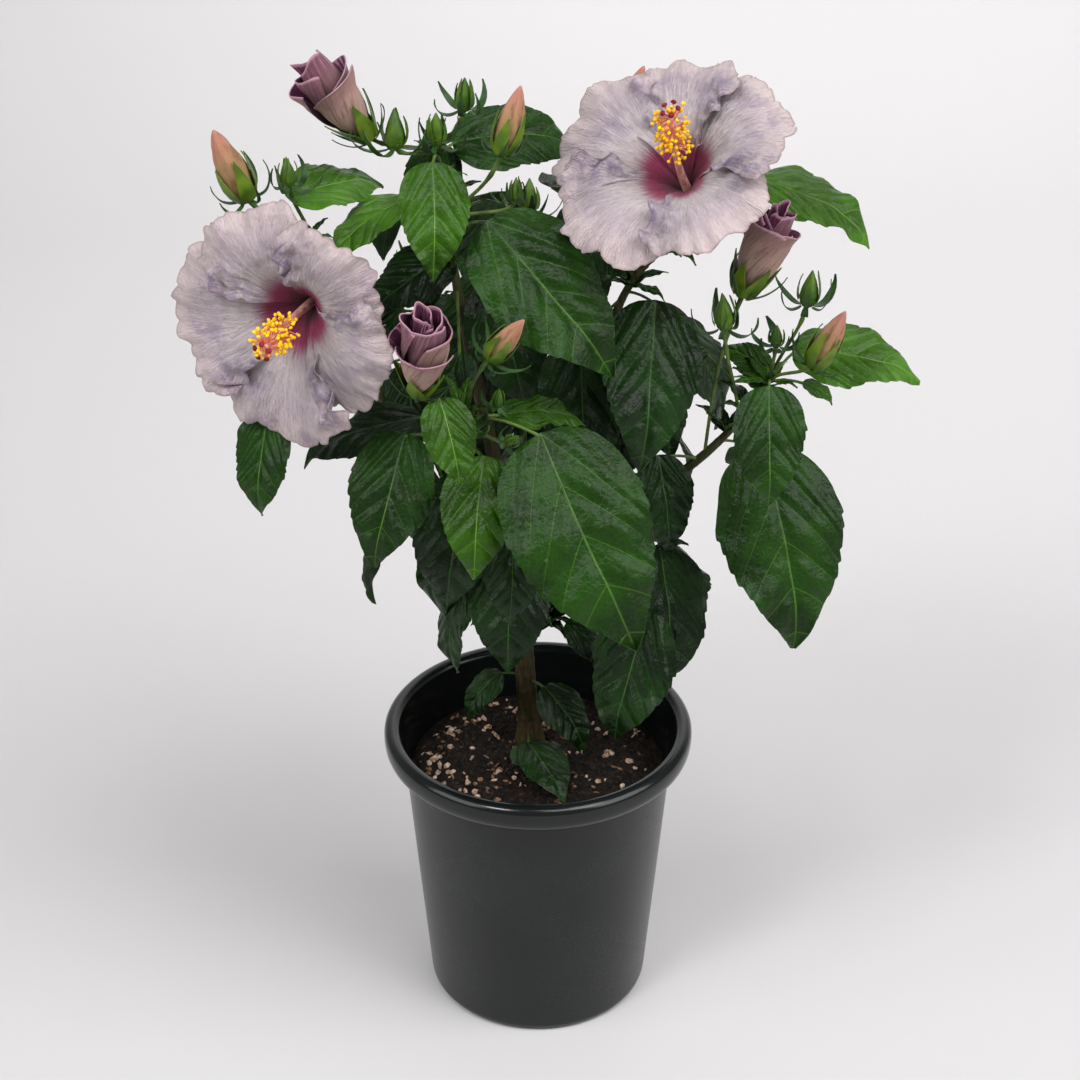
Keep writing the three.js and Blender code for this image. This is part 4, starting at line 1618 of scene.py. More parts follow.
# The column's radius at distances along the flower's axis.
COLUMN_GIRTH = ((18.0, 4.2), (24.0, 2.9), (50.0, 2.1), (84.0, 1.8), (90.0, 1.2))
BRANCH_FOOT = 87.0
BRANCH_REACH = 6.5
BRANCH_SPREAD = 4.6
PAD_RADIUS = 1.75
ANTHERS_FROM = 62.0
ANTHERS_TO = 88.0
ANTHER_DENSITY = 480000.0


def cup(along: Array) -> Array:
    """Gives how high an open flower's petals stand over its foot, at shares of their length."""
    return 22.0 + 40.0 * (1.0 - (1.0 - along) ** 2.2) - 10.0 * along**4


@dataclass(frozen=True)
class Habit:
    """How one open flower holds itself.

    Attributes:
        bend: how far the column's tip stands off the flower's axis, across and up.
        reach: the column's length over the usual.
        hand: 1 where a petal's left edge lies over its neighbour, -1 where its right edge does.
        drifts: how far each petal stands from its fifth of the circle, in degrees.
    """

    bend: tuple[float, float]
    reach: float
    hand: int
    drifts: tuple[float, ...]


HABITS = {
    "left_spray": Habit((5.0, -3.0), 1.0, 1, (0.0, 0.0, 0.0, 0.0, 0.0)),
    "flower_spray": Habit((2.6, 14.5), 0.9, -1, (11.0, -2.0, -4.0, 7.0, 14.0)),
}


@dataclass(frozen=True)
class Bloom:
    """An open flower: five ruffled petals round a column of anthers and stigmas."""

    name: str
    blossom: Blossom
    seed: int
    habit: Habit

    def petal(self, number: int) -> tuple[Array, Array]:
        """Works out one petal's middle surface.

        Args:
            number: which petal.

        Returns:
            Its points in the flower's own directions, rows by columns, and each point's fold from 0 to 1,
            which sets the painted shade in the crinkles.
        """
        long = self.blossom.long * self.blossom.petals[number]
        side, along = net(PETAL_COLUMNS, PETAL_ROWS)
        p = np.random.default_rng(self.seed + number).uniform(0.0, 1.0, 12)
        spread = PETAL_SPREAD + 0.09 * ease(along, 0.3, 0.6)
        frill = wave(1.3 * side + p[6]) + 0.4 * wave(3.1 * side + p[7])
        notch = np.abs(np.sin(math.pi * (5.2 * side + p[9])) * np.sin(math.pi * (2.3 * side + p[10])))
        edge = 1.0 - 0.2 * np.abs(side) ** 3 + 0.03 * frill * ease(along, 0.4, 1.0)
        edge -= 0.035 * (1.0 - notch) ** 4 * ease(along, 0.86, 1.0)
        radius = PETAL_FOOT + (long * edge - PETAL_FOOT) * along**1.1
        turn = self.blossom.turn + number * 360.0 / PETAL_COUNT + self.habit.drifts[number]
        around = math.radians(turn) - side * spread
        over = side * self.habit.hand
        flap = ease(-over, 0.3, 1.0) * ease(along, 0.24, 0.46) * (1.0 - 0.55 * ease(along, 0.8, 1.0))
        crumple = ripple(np.stack([side * 3.2, along * 4.4], axis=-1), self.seed * 7 + number, 9)
        curl = wave(2.6 * along + 0.5 * side + p[0])
        curl += 0.7 * wave(5.7 * along + p[1])
        around += flap * self.habit.hand * (0.05 * wave(3.4 * along + p[2]) - 0.05)
        broad = BROAD_WAVE * wave(0.75 * side + 0.2 * along + p[3]) * ease(along, 0.3, 0.9)
        ribs = RIBS * wave(7.0 * side + p[4]) * ease(along, 0.1, 0.4) * (1.0 - 0.5 * along)
        rim = ease(along, 0.7, 1.0) * (1.0 - 0.4 * np.abs(side))
        waves = RIM_WAVES[0] * wave(2.1 * side + p[5])
        waves += RIM_WAVES[1] * wave(5.3 * side + p[8])
        folds = flap * (EDGE_CURL * curl + 1.0 + CRUMPLE * crumple) + 0.45 * crumple * ease(along, 0.2, 0.6)
        lift = cup(along) - OVERLAP * over * along**1.7 + folds + broad + ribs + rim * waves
        places = polar(around, radius, lift)
        return places, np.clip(flap * (0.75 + 0.3 * crumple), 0.0, 1.0)

    def petals(self) -> bpy.types.Object:
        """Makes the petals.

        Returns:
            The object.
        """
        sheaf = Sheaf()
        side, along = net(PETAL_COLUMNS, PETAL_ROWS)
        for number in range(PETAL_COUNT):
            places, fold = self.petal(number)
            spots = np.stack([side + 2.0 * number, along, fold], axis=-1)
            sheaf.add_sheet(self.blossom.place(places), PETAL_THICK, (0, 0), spots)
        return sheaf.piece(self.name + "_petals", ("petal",), 80.0)

    def spine(self, along: Array) -> Array:
        """Gives the places of the bent column at distances along the flower's axis.

        Args:
            along: the distances, in millimetres.

        Returns:
            The places.
        """
        share = np.clip((along - COLUMN_FOOT) / (COLUMN_TIP - COLUMN_FOOT), 0.0, 1.2)
        across, up = self.habit.bend
        height = COLUMN_FOOT + (along - COLUMN_FOOT) * self.habit.reach
        return self.blossom.place(np.stack([across * share**2, up * share**2, height], axis=-1))

    def column(self) -> bpy.types.Object:
        """Makes the column and the five short branches of its tip.

        Returns:
            The object.
        """
        sheaf = Sheaf()
        along = np.linspace(COLUMN_FOOT, COLUMN_TIP, 40)
        ridges = 1.0 + 0.05 * np.cos(5.0 * np.arange(20) * math.tau / 20)
        girth = np.interp(along, *np.transpose(COLUMN_GIRTH))
        sheaf.add_tube(self.spine(along), girth[:, None] * ridges, 20)
        for line in self.branches():
            sheaf.add_tube(line, np.linspace(0.6, 0.42, len(line)), 8, 1)
            self.add_pad(sheaf, line)
        return sheaf.piece(self.name + "_column", ("column", "style branch", "stigma"))

    def branches(self) -> list[Array]:
        """Draws the five branches that carry the stigmas.

        Returns:
            Each branch's line of points.
        """
        out = np.linspace(0.0, 1.0, 7)
        away = BRANCH_SPREAD * out**1.4
        lines = []
        for number in range(5):
            around = math.tau * number / 5 + 0.3
            spread = polar(around, away, 0.0 * out)
            lines.append(self.spine(BRANCH_FOOT + BRANCH_REACH * out) + spread @ self.blossom.axes.T)
        return lines

    @staticmethod
    def add_pad(sheaf: Sheaf, line: Array) -> None:
        """Adds the furry pad at the end of a branch.

        Args:
            sheaf: what it's added to.
            line: the branch's points.
        """
        way = unit(line[-1] - line[-2])
        share = np.linspace(-1.0, 1.0, 9)
        tufts = 1.0 + 0.08 * np.cos(7.0 * np.arange(14) * math.tau / 14)
        radii = PAD_RADIUS * np.sqrt(np.maximum(0.02, 1.0 - share**2))[:, None] * tufts
        sheaf.add_tube(line[-1] + (share[:, None] * 1.2 + 0.6) * way, radii, 14, 2)

    def host(self, name: str) -> bpy.types.Object:
        """Makes the stretch of column that the anthers stand on.

        Args:
            name: the object's name.

        Returns:
            The object.
        """
        sheaf = Sheaf()
        sheaf.add_tube(self.spine(np.linspace(ANTHERS_FROM, ANTHERS_TO, 12)), np.full(12, 1.8), 12)
        return sheaf.piece(name, ())

    def build(self, node: str) -> None:
        """Makes the whole flower, in place of a solid.

        Args:
            node: the solid that it stands for.
        """
        settle(self.petals(), "foliage", node)
        settle(self.column(), "foliage", node)
        for pattern, finish in ((Pattern.FILAMENT, "filament"), (Pattern.ANTHER, "anther")):
            scatter = Scatter(pattern, ANTHER_DENSITY, (0.8, 0.8, 0.7), (1.2, 1.2, 1.25), 0.55, self.seed)
            piece = scatter.over(self.host(f"{self.name}_{finish}s"), bpy.data.materials[finish])
            settle(piece, "foliage", node)


@dataclass(frozen=True)
class Husk:
    """A ring of green lobes round a flower's foot.

    Attributes:
        count: how many.
        start: how far up the flower they start.
        long: how far each runs.
        wide: half the width of one at its widest.
        flare: how far its tip stands off.
        slot: its material.
        uneven: how much they differ from one another.
        seed: what its chance starts from.
    """

    count: int
    start: float
    long: float
    wide: float
    flare: float
    slot: int
    uneven: float
    seed: int

    def add_to(self, sheaf: Sheaf, blossom: Blossom, heights: Array, radii: Array) -> None:
        """Adds the lobes, hugging a body of revolution.

        Args:
            sheaf: what they're added to.
            blossom: the flower.
            heights: heights up its axis, in millimetres.
            radii: the body's radius at each.
        """
        draw = np.random.default_rng(self.seed)
        turn = draw.uniform(0.0, math.tau)
        side, along = net(5, 11)
        half = self.wide * np.maximum(0.06, (1.0 - along**1.6) * ease(along + 0.35, 0.0, 0.5))
        for number in range(self.count):
            long, flare, sway = 1.0 + self.uneven * draw.uniform(-1.0, 1.0, 3) * (0.3, 0.6, 1.0)
            height = self.start + self.long * long * along
            body = np.interp(height, heights, radii) + 0.35
            around = turn + math.tau * number / self.count + side * half / np.maximum(body, 1.2)
            around = around + (sway - 1.0) * 0.7 * along**2
            away = body + self.flare * flare * along**1.5 * (1.0 - 0.3 * along**3) + 0.25 * np.abs(side)
            drop = abs(self.flare) * 0.35 * np.sin(math.pi * along)
            grid = polar(around, away, height - drop)
            spots = np.stack([side, along, 0.0 * side], axis=-1)
            sheaf.add_sheet(blossom.place(grid), LOBE_THICK, (self.slot, self.slot), spots)


LOBE_THICK = 0.5
FURLED_THICK = 0.7
# The heights and radii of a body: over a bud's length, or in millimetres for an open flower's calyx.
BUD_SHAPES = {
    Kind.BLOOM: ((0.0, 6.0, 16.0, 26.0), (4.0, 7.0, 8.0, 7.6)),
    Kind.OPENING: (
        (0.0, 0.12, 0.25, 0.45, 0.66, 0.85, 1.0),
        (0.09, 0.14, 0.18, 0.245, 0.285, 0.275, 0.23),
    ),
    Kind.POINTED: (
        (0.0, 0.1, 0.22, 0.4, 0.6, 0.8, 0.94, 1.0),
        (0.11, 0.17, 0.2, 0.2, 0.18, 0.12, 0.055, 0.015),
    ),
    Kind.GREEN: ((0.0, 0.12, 0.3, 0.5, 0.7, 0.88, 1.0), (0.14, 0.23, 0.27, 0.24, 0.17, 0.08, 0.02)),
}
CALYX, BRACT, MAUVE, SALMON, GREEN_BUD = range(5)
BUD_SKINS = (CALYX_SKIN, BRACT_SKIN, MAUVE_SKIN, SALMON_SKIN, GREEN_BUD_SKIN)
BUD_MATERIALS = tuple(skin.name for skin in BUD_SKINS)


@dataclass(frozen=True)
class Roll:
    """One ring of furled petals.

    Attributes:
        count: how many petals.
        size: its radius, over the bud's.
        top: how high it stands, over the bud's length.
        curl: how far its lip curls over.
        purple: how much of its inner colour shows outside.
    """

    count: int
    size: float
    top: float
    curl: float
    purple: float


ROLLS = (
    Roll(3, 1.0, 0.96, 4.5, 0.0),
    Roll(3, 0.74, 1.1, 2.2, 0.7),
    Roll(3, 0.44, 1.12, 0.8, 1.0),
    Roll(2, 0.2, 1.08, 0.3, 1.0),
)


@dataclass(frozen=True)
class Bud:
    """A flower that hasn't opened, in its calyx and bracts."""

    blossom: Blossom
    seed: int

    @property
    def profile(self) -> tuple[Array, Array]:
        """Its heights and radii, in millimetres; an open flower's are those of its calyx.

        Returns:
            The heights and the radii.
        """
        heights, radii = np.array(BUD_SHAPES[self.blossom.kind])
        scale = 1.0 if self.blossom.kind is Kind.BLOOM else self.blossom.long
        return heights * scale, radii * scale

    def add_to(self, sheaf: Sheaf) -> None:
        """Adds the bud to a sheaf of buds.

        Args:
            sheaf: what it's added to.
        """
        long = self.blossom.long
        heights, radii = self.profile
        ring = (sheaf, self.blossom, heights, radii)
        match self.blossom.kind:
            case Kind.BLOOM:
                Husk(5, 2.0, 26.0, 6.0, 3.0, CALYX, 0.2, self.seed).add_to(*ring)
                Husk(7, 0.5, 17.0, 1.3, 8.0, BRACT, 1.0, self.seed + 1).add_to(*ring)
            case Kind.OPENING:
                self.add_rolls(sheaf)
                Husk(5, 1.0, long * 0.42, long * 0.11, 1.5, CALYX, 0.3, self.seed).add_to(*ring)
                Husk(7, 0.0, long * 0.3, 1.3, 9.0, BRACT, 1.0, self.seed + 1).add_to(*ring)
            case Kind.POINTED:
                self.add_body(sheaf, SALMON, 0.2, 2.8)
                Husk(5, 0.5, long * 0.6, long * 0.125, 0.8, CALYX, 0.3, self.seed).add_to(*ring)
                Husk(6, 0.0, long * 0.36, 1.4, long * 0.32, BRACT, 1.0, self.seed + 1).add_to(*ring)
            case Kind.GREEN:
                self.add_body(sheaf, GREEN_BUD, 0.12, 0.3)
                sepal = (long * 0.15, long * 0.74, long * 0.1, long * 0.14)
                Husk(4, *sepal, GREEN_BUD, 0.7, self.seed).add_to(*ring)
                Husk(5, 0.0, long * 0.66, 1.5, long * 0.95, BRACT, 1.0, self.seed + 1).add_to(*ring)
        self.add_foot(sheaf)

    def add_foot(self, sheaf: Sheaf) -> None:
        """Adds the solid foot that the calyx stands on.

        Args:
            sheaf: what it's added to.
        """
        heights, radii = self.profile
        along = np.linspace(-1.0, max(heights[1], 5.0), 8)
        wide = np.interp(along, heights, radii) * np.linspace(0.35, 1.0, 8)
        corners, faces, spots = tube(along[:, None] * UP, wide, 12)
        sheaf.add(self.blossom.place(corners), faces, CALYX, spots)

    def add_body(self, sheaf: Sheaf, slot: int, ribs: float, twist: float) -> None:
        """Adds the closed spindle of a tight bud.

        Args:
            sheaf: what it's added to.
            slot: its material.
            ribs: how deep its five ribs are.
            twist: how far they wind round, in radians.
        """
        heights, radii = self.profile
        along = np.linspace(0.0, heights[-1], 26)
        around = np.arange(25) * math.tau / 25
        share = (along / heights[-1])[:, None]
        grooves = ribs * np.abs(np.sin(2.5 * around + twist * share))
        wide = np.interp(along, heights, radii)[:, None] * (1.0 - grooves)
        corners, faces, spots = tube(along[:, None] * UP, wide, 25)
        sheaf.add(self.blossom.place(corners), faces, slot, spots)

    def add_rolls(self, sheaf: Sheaf) -> None:
        """Adds the furled petals of an opening bud, the outer ones curling over at the mouth.

        Args:
            sheaf: what they're added to.
        """
        draw = np.random.default_rng(self.seed)
        for order, roll in enumerate(ROLLS):
            for number in range(roll.count):
                self.add_furled(sheaf, order, number, draw.uniform(0.0, math.tau, 3))

    def add_furled(self, sheaf: Sheaf, order: int, number: int, p: Array) -> None:
        """Adds one furled petal.

        Args:
            sheaf: what it's added to.
            order: which ring it stands in.
            number: which petal of the ring it is.
            p: its own three phases.
        """
        roll = ROLLS[order]
        long = self.blossom.long
        heights, radii = self.profile
        side, along = net(31, 24)
        where = np.stack([side * 0.8 + p[1], along * 0.9], axis=-1)
        wrinkle = ripple(where, self.seed * 9 + order * 3 + number) * ease(along, 0.6, 1.0)
        level = roll.top * (1.0 - 0.2 * math.sin(p[0]) ** 2)
        height = long * (0.08 + (level - 0.08) * along) - 5.0 * np.abs(side) ** 2.4 * along**2
        height += 1.6 * wrinkle
        away = np.interp(height, heights, radii) * roll.size * (0.86 + 0.14 * side)
        away += roll.curl * ease(along, 0.72, 1.0) * (1.0 - 0.6 * side**2) + 1.3 * wrinkle
        away += 0.25 * np.sin(11.0 * side + 2.0 * along + p[1]) * along
        away = away * (0.3 + 0.7 * ease(along, -0.25, 0.35))
        height -= roll.curl * 0.9 * ease(along, 0.86, 1.0) ** 2 * (1.0 - 0.5 * side**2)
        around = p[2] * 0.2 + order * 0.9 + math.tau * number / roll.count + side * 1.4 + 1.3 * along
        grid = polar(around, away, height)
        spots = np.stack([side + number * 2.0, along, np.full(side.shape, roll.purple)], axis=-1)
        inside = spots.copy()
        inside[..., 2] = 1.0
        sheaf.add_sheet(self.blossom.place(grid), FURLED_THICK, (MAUVE, MAUVE), spots, inside)


# ---------------------------------------------------------------- wood

TRUNK_LINE = Line(np.array([[-6.0, 22.0, 189.3], [-10.0, 19.0, 265.0], [-14.0, 15.0, 345.0]]))
TRUNK_HEIGHT = 155.7
JOINT_GAP = 0.3
TRUNK_RELIEF = 0.32
BOUGH_RELIEF = 0.3


def trunk_radius(along: Array) -> Array:
    """Gives the trunk's radius at shares of the way up, flared at its foot."""
    return 7.8 - 1.6 * along + 2.8 * np.exp(-((along * TRUNK_HEIGHT / 22.0) ** 2) * 3.0)


def bough_line(bough: Bough) -> Line:
    """Draws a bough from the middle of the trunk to its tip."""
    return reach(TRUNK_LINE.at(bough.leaves), np.array(bough.tip, float), bough.bow)


@dataclass(frozen=True)
class Limb:
    """A length of wood with bark in relief.

    Attributes:
        line: its middle.
        radii: its radius at shares of the way along.
        relief: how deep its bark is.
        seed: what its chance starts from.
        rows: rings of points along it.
        sides: points in a ring.
    """

    line: Line
    radii: Array
    relief: float
    seed: int
    rows: int
    sides: int

    def add_to(self, sheaf: Sheaf, slot: int = 0) -> None:
        """Adds the limb to a sheaf.

        Args:
            sheaf: what it's added to.
            slot: its material.
        """
        share = np.linspace(0.0, 1.0, self.rows)
        middle = self.line.at(share)
        around = np.arange(self.sides) * math.tau / self.sides
        length = np.linalg.norm(np.diff(middle, axis=0), axis=1).sum()
        rise = share[:, None] * length / 26.0
        ring = np.stack(np.broadcast_arrays(np.cos(around), np.sin(around), rise), axis=-1)
        rough = ripple(ring, self.seed, 7) * 0.55
        rough += ripple(ring * (4.0, 4.0, 1.2), self.seed + 1, 7) * 0.3
        knots = np.maximum(0.0, np.cos(math.tau * share * length / 24.0)) ** 10
        radii = np.interp(share, np.linspace(0.0, 1.0, len(self.radii)), self.radii)
        wide = radii[:, None] + self.relief * rough + (self.relief * knots)[:, None]
        sheaf.add_tube(middle, wide, self.sides, slot)


@dataclass(frozen=True)
class Wood:
    """The trunk and the boughs that leave it."""

    def build(self) -> None:
        """Makes each as its own piece."""
        sheaf = Sheaf()
        share = np.linspace(0.0, 1.0, 60)
        Limb(TRUNK_LINE, trunk_radius(share), TRUNK_RELIEF, 3, 130, 40).add_to(sheaf)
        settle(sheaf.piece("trunk_bark", (TRUNK_SKIN.name,)), "bark", "trunk")
        for number, (name, bough) in enumerate(BOUGHS.items()):
            sheaf = Sheaf()
            foot, tip = bough.radii
            radii = foot + (tip - foot) * share + 1.6 * np.exp(-((share * 14.0) ** 2))
            Limb(bough_line(bough), radii, BOUGH_RELIEF, 20 + number, 100, 24).add_to(sheaf)
            skin = TRUNK_SKIN if name == "tall_bough" else TWIG_SKIN
            settle(sheaf.piece(name + "_bark", (skin.name,)), "bark", name)


# ---------------------------------------------------------------- growth


def stem_of(spray: Spray) -> tuple[Line, float]:
    """Draws a spray's stem, on from its bough's tip or out from the trunk.

    Args:
        spray: the spray.

    Returns:
        Its line and the radius of its foot.
    """
    end = np.array(spray.stem, float)
    if not isinstance(spray.start, str):
        return reach(TRUNK_LINE.at(spray.start), end, 0.1), spray.radius
    bough = BOUGHS[spray.start]
    line = bough_line(bough)
    onward = unit(line.knots[-1] - line.knots[-2])
    start = line.at(1.0) + onward * JOINT_GAP
    middle = start + onward * np.linalg.norm(end - start) / 2.0
    return Line(np.array([start, middle, end])), bough.radii[1]


def joint_for(stem: Line, stands: Triple, joint: float | None) -> Array:
    """Finds the joint of a stem that carries something.

    Args:
        stem: the stem's line.
        stands: where it stands.
        joint: the share of the stem that carries it, or None for the nearest joint.

    Returns:
        The joint's place.
    """
    if joint is not None:
        return stem.at(joint)
    joints = stem.at(np.linspace(0.0, 1.0, 11))
    return joints[np.linalg.norm(joints - stands, axis=1).argmin()]


def leaf_stalk(start: Array, blade: Blade) -> Line:
    """Draws a leaf's stalk, from its joint to a little way inside the blade."""
    return reach(start, np.array(blade.stands) + blade.axes[0] * SINK, -0.3)


def blade_spots(blade: Blade) -> Array:
    """Gives the points that stand for a blade where room is judged."""
    along, across = np.meshgrid(np.linspace(0, 1, 7), np.linspace(-1, 1, 5), indexing="ij")
    return blade.spots(across.ravel(), along.ravel())


@dataclass
class Crown:
    """What already stands in the crown, so that later leaves keep clear of it."""

    owners: list[str] = field(default_factory=list)
    wood: list[bool] = field(default_factory=list)
    places: list[Array] = field(default_factory=list)

    def add(self, owner: str, wood: bool, places: Array) -> None:
        """Takes in the points of something that a spray owns.

        Args:
            owner: the spray's or the limb's name.
            wood: whether it's wood.
            places: its points.
        """
        self.owners += [owner] * len(places)
        self.wood += [wood] * len(places)
        self.places.append(places)

    def add_flower(self, owner: str, blossom: Blossom) -> None:
        """Takes in a flower's axis, and an open one's spread petals.

        Args:
            owner: the spray's name.
            blossom: the flower.
        """
        foot = np.array(blossom.foot, float)
        self.add(owner, False, foot + np.linspace(0, 1, 5)[:, None] * blossom.axis * blossom.long)
        if blossom.kind is not Kind.BLOOM:
            return
        turns = np.repeat(np.linspace(0.0, 360.0, 21), 3)
        along = np.tile([0.3, 0.65, 1.0], 21)
        radius = 5.0 + (blossom.long - 5.0) * along**1.15
        around = np.radians(turns)
        local = polar(around, radius, cup(along))
        self.add(owner, False, blossom.place(local))

    def has_room(self, owner: str, blade: Blade, stalk: Line) -> bool:
        """Tells whether a leaf keeps its distance.

        Args:
            owner: the spray that it would belong to.
            blade: its blade.
            stalk: its stalk.

        Returns:
            True where it's clear of everything but its own spray's wood.
        """
        places = np.concatenate(self.places)
        wood = np.array(self.wood)
        own = wood & (np.array(self.owners) == owner)
        spots = blade_spots(blade)
        line = stalk.at(np.array([0.3, 0.5, 0.7, 0.9]))
        near = np.linalg.norm(places[:, None] - spots, axis=-1).min(axis=1)
        by_stalk = np.linalg.norm(places[:, None] - line, axis=-1).min(axis=1)
        if (near[own] < LIMB_ROOM / 2.0).any():
            return False
        room = np.where(wood, LIMB_ROOM, LEAF_ROOM)
        return bool((near >= room)[~own].all() and (by_stalk[~own] >= LIMB_ROOM).all())


def grown_leaves(name: str, spray: Spray, stem: Line, crown: Crown) -> list[Blade]:
    """Grows leaves round a stem at the golden angle, each kept only where it has room.

    Args:
        name: the spray's name.
        spray: the spray.
        stem: its stem's line.
        crown: what already stands.

    Returns:
        The leaves that found room.
    """
    chance = Chance(spray.seed)
    kept: list[Blade] = []
    for tries in range(spray.fill * TRIES_A_LEAF):
        if len(kept) == spray.fill:
            break
        heading = tries * GOLDEN_ANGLE + chance.between(GROWN["drifts"])
        joint = chance.between(GROWN["joint"])
        start = stem.at(joint)
        out = pointing(heading, chance.between(GROWN["rises"]))
        stands = start + out * chance.between(GROWN["stalk"])
        turns = [chance.between(GROWN[part]) for part in ("falls", "sways", "long")]
        blade = Blade(tuple(stands), heading, *turns, joint, spray.tint)
        ends = blade.spots(np.array([0.0, -1.0, 1.0]), np.array([1.0, 0.4, 0.4]))
        if spray.room.holds(ends) and crown.has_room(name, blade, leaf_stalk(start, blade)):
            crown.add(name, False, blade_spots(blade))
            kept.append(blade)
    return kept


def tuft(tip: Array, seed: int, tint: Tint, longs: tuple[float, float]) -> list[Blade]:
    """Draws the small new leaves at a shoot's tip.

    Args:
        tip: where they stand.
        seed: what its chance starts from.
        tint: their green.
        longs: their least and greatest length.

    Returns:
        The leaves.
    """
    chance = Chance(seed)
    headings = [number * GOLDEN_ANGLE + seed for number in range(TUFT_LEAVES)]
    return [
        Blade(tuple(tip), heading, chance.between((-62, 4)), 0, chance.between(longs), tint=tint)
        for heading in headings
    ]


# Small leaves deep in the crown, which close the gaps between the larger ones; their dark tint is partly
# painted shade.
INNER_LEAVES = {
    "top_spray": [Blade((-50, -13, 517), 252, 69, -8, 59, 0.23)],
    "left_spray": [Blade((-84, -3, 501), 294, 56, -11, 60, 0.18)],
    "back_left_spray": [
        Blade((-60, 98, 430), 286, 70, -13, 61, 0.55),
        Blade((-48, 47, 433), 308, 52, -20, 59, 0.42),
    ],
    "back_right_spray": [
        Blade((24, 99, 425), 238, 35, -20, 62, 0.47),
        Blade((57, 55, 449), 281, 71, -7, 62, 0.29),
    ],
    "back_top_spray": [
        Blade((-16, 51, 488), 285, 77, 23, 61, 0.58),
        Blade((-32, 35, 498), 265, 76, 23, 56, 0.35),
    ],
}


@dataclass(frozen=True)
class Tufts:
    """Where small new leaves stand on a spray's stem, and how long they are.

    Attributes:
        shares: the shares of the stem that carry them.
        longs: their least and greatest length.
        tints: their green at each of the shares.
    """

    shares: tuple[float, ...]
    longs: tuple[float, float]
    tints: tuple[Tint, ...]


FLOWERING_TUFTS = Tufts((1.0, 0.86, 0.7, 0.4), (15, 30), (YOUNG, YOUNG, MID, MID))
# The plain sprays stand low and at the back, so even their new tip leaves take the dark tint, which paints
# their shade.
PLAIN_TUFTS = Tufts((1.0, 0.6, 0.25), (24, 44), (DARK, DARK, DARK))
TUFT_SLIM = 0.55
TUFT_COLUMNS = 7
TUFT_TEETH = 4
TWIG_TIP = 1.5
TWIG_RELIEF = 0.16
TWIG_SLOT, STALK_SLOT = range(2)


@dataclass(frozen=True)
class Foliage:
    """One spray's stem, stalks, leaves, buds and blooms.

    Attributes:
        name: the spray's name.
        spray: the spray.
        stem: its stem's line.
        radius: the radius of the stem's foot.
        blades: its full leaves, placed and grown.
        seed: what its chance starts from.
    """

    name: str
    spray: Spray
    stem: Line
    radius: float
    blades: list[Blade]
    seed: int

    def add_leaves(self, leaves: Sheaf, twigs: Sheaf) -> None:
        """Adds the full leaves and their stalks, which swell at both ends.

        Args:
            leaves: what the blades are added to.
            twigs: what the stalks are added to.
        """
        share = np.linspace(0.0, 1.0, 14)
        radii = 0.95 + 0.5 * np.exp(-((share * 9.0) ** 2)) + 0.3 * np.exp(-(((1 - share) * 9.0) ** 2))
        for number, blade in enumerate(self.blades + INNER_LEAVES.get(self.name, [])):
            Leaf(blade, self.seed + number).add_to(leaves)
            line = leaf_stalk(joint_for(self.stem, blade.stands, blade.joint), blade)
            twigs.add_tube(line.at(share), radii, 10, STALK_SLOT)

    def add_flowers(self, buds: Sheaf, twigs: Sheaf) -> None:
        """Adds the buds and the flowers' stalks, knuckled under the calyx, and makes the blooms.

        Args:
            buds: what the buds are added to.
            twigs: what the stalks are added to.
        """
        share = np.linspace(0.0, 1.0, 24)
        radii = 1.15 + 0.55 * np.exp(-(((share - 0.78) * 22.0) ** 2)) + 0.7 * ease(share, 0.82, 1.0)
        for number, blossom in enumerate(self.spray.flowers):
            start = joint_for(self.stem, blossom.foot, blossom.joint)
            line = stalk_line(start, np.array(blossom.foot) + blossom.axis * SINK, blossom.axis)
            twigs.add_tube(line.at(share), radii, 12, STALK_SLOT)
            Bud(blossom, self.seed + number).add_to(buds)
            if blossom.kind is Kind.BLOOM:
                name = self.name.replace("spray", "bloom")
                Bloom(name, blossom, self.seed, HABITS[self.name]).build(self.name)

    def add_tufts(self, leaves: Sheaf) -> None:
        """Adds the small new leaves at the shoot's tip and down its stem.

        Args:
            leaves: what they're added to.
        """
        tufts = FLOWERING_TUFTS if self.spray.flowers else PLAIN_TUFTS
        for number, (share, tint) in enumerate(zip(tufts.shares, tufts.tints)):
            blades = tuft(self.stem.at(share), self.seed + number, tint, tufts.longs)
            for order, blade in enumerate(blades):
                seed = self.seed + 50 + 10 * number + order
                Leaf(blade, seed, TUFT_COLUMNS, TUFT_SLIM, TUFT_TEETH).add_to(leaves)

    def build(self) -> None:
        """Makes its pieces."""
        leaves, twigs, buds = Sheaf(), Sheaf(), Sheaf()
        radii = np.linspace(self.radius, TWIG_TIP, 12)
        Limb(self.stem, radii, TWIG_RELIEF, self.seed, 60, 14).add_to(twigs, TWIG_SLOT)
        self.add_leaves(leaves, twigs)
        self.add_flowers(buds, twigs)
        self.add_tufts(leaves)
        settle(leaves.piece(self.name + "_leaves", LEAF_MATERIALS), "foliage", self.name)
        wood = twigs.piece(self.name + "_twigs", (TWIG_SKIN.name, STALK_SKIN.name))
        settle(wood, "foliage", self.name)
        if buds.count:
            settle(buds.piece(self.name + "_buds", BUD_MATERIALS), "foliage", self.name)


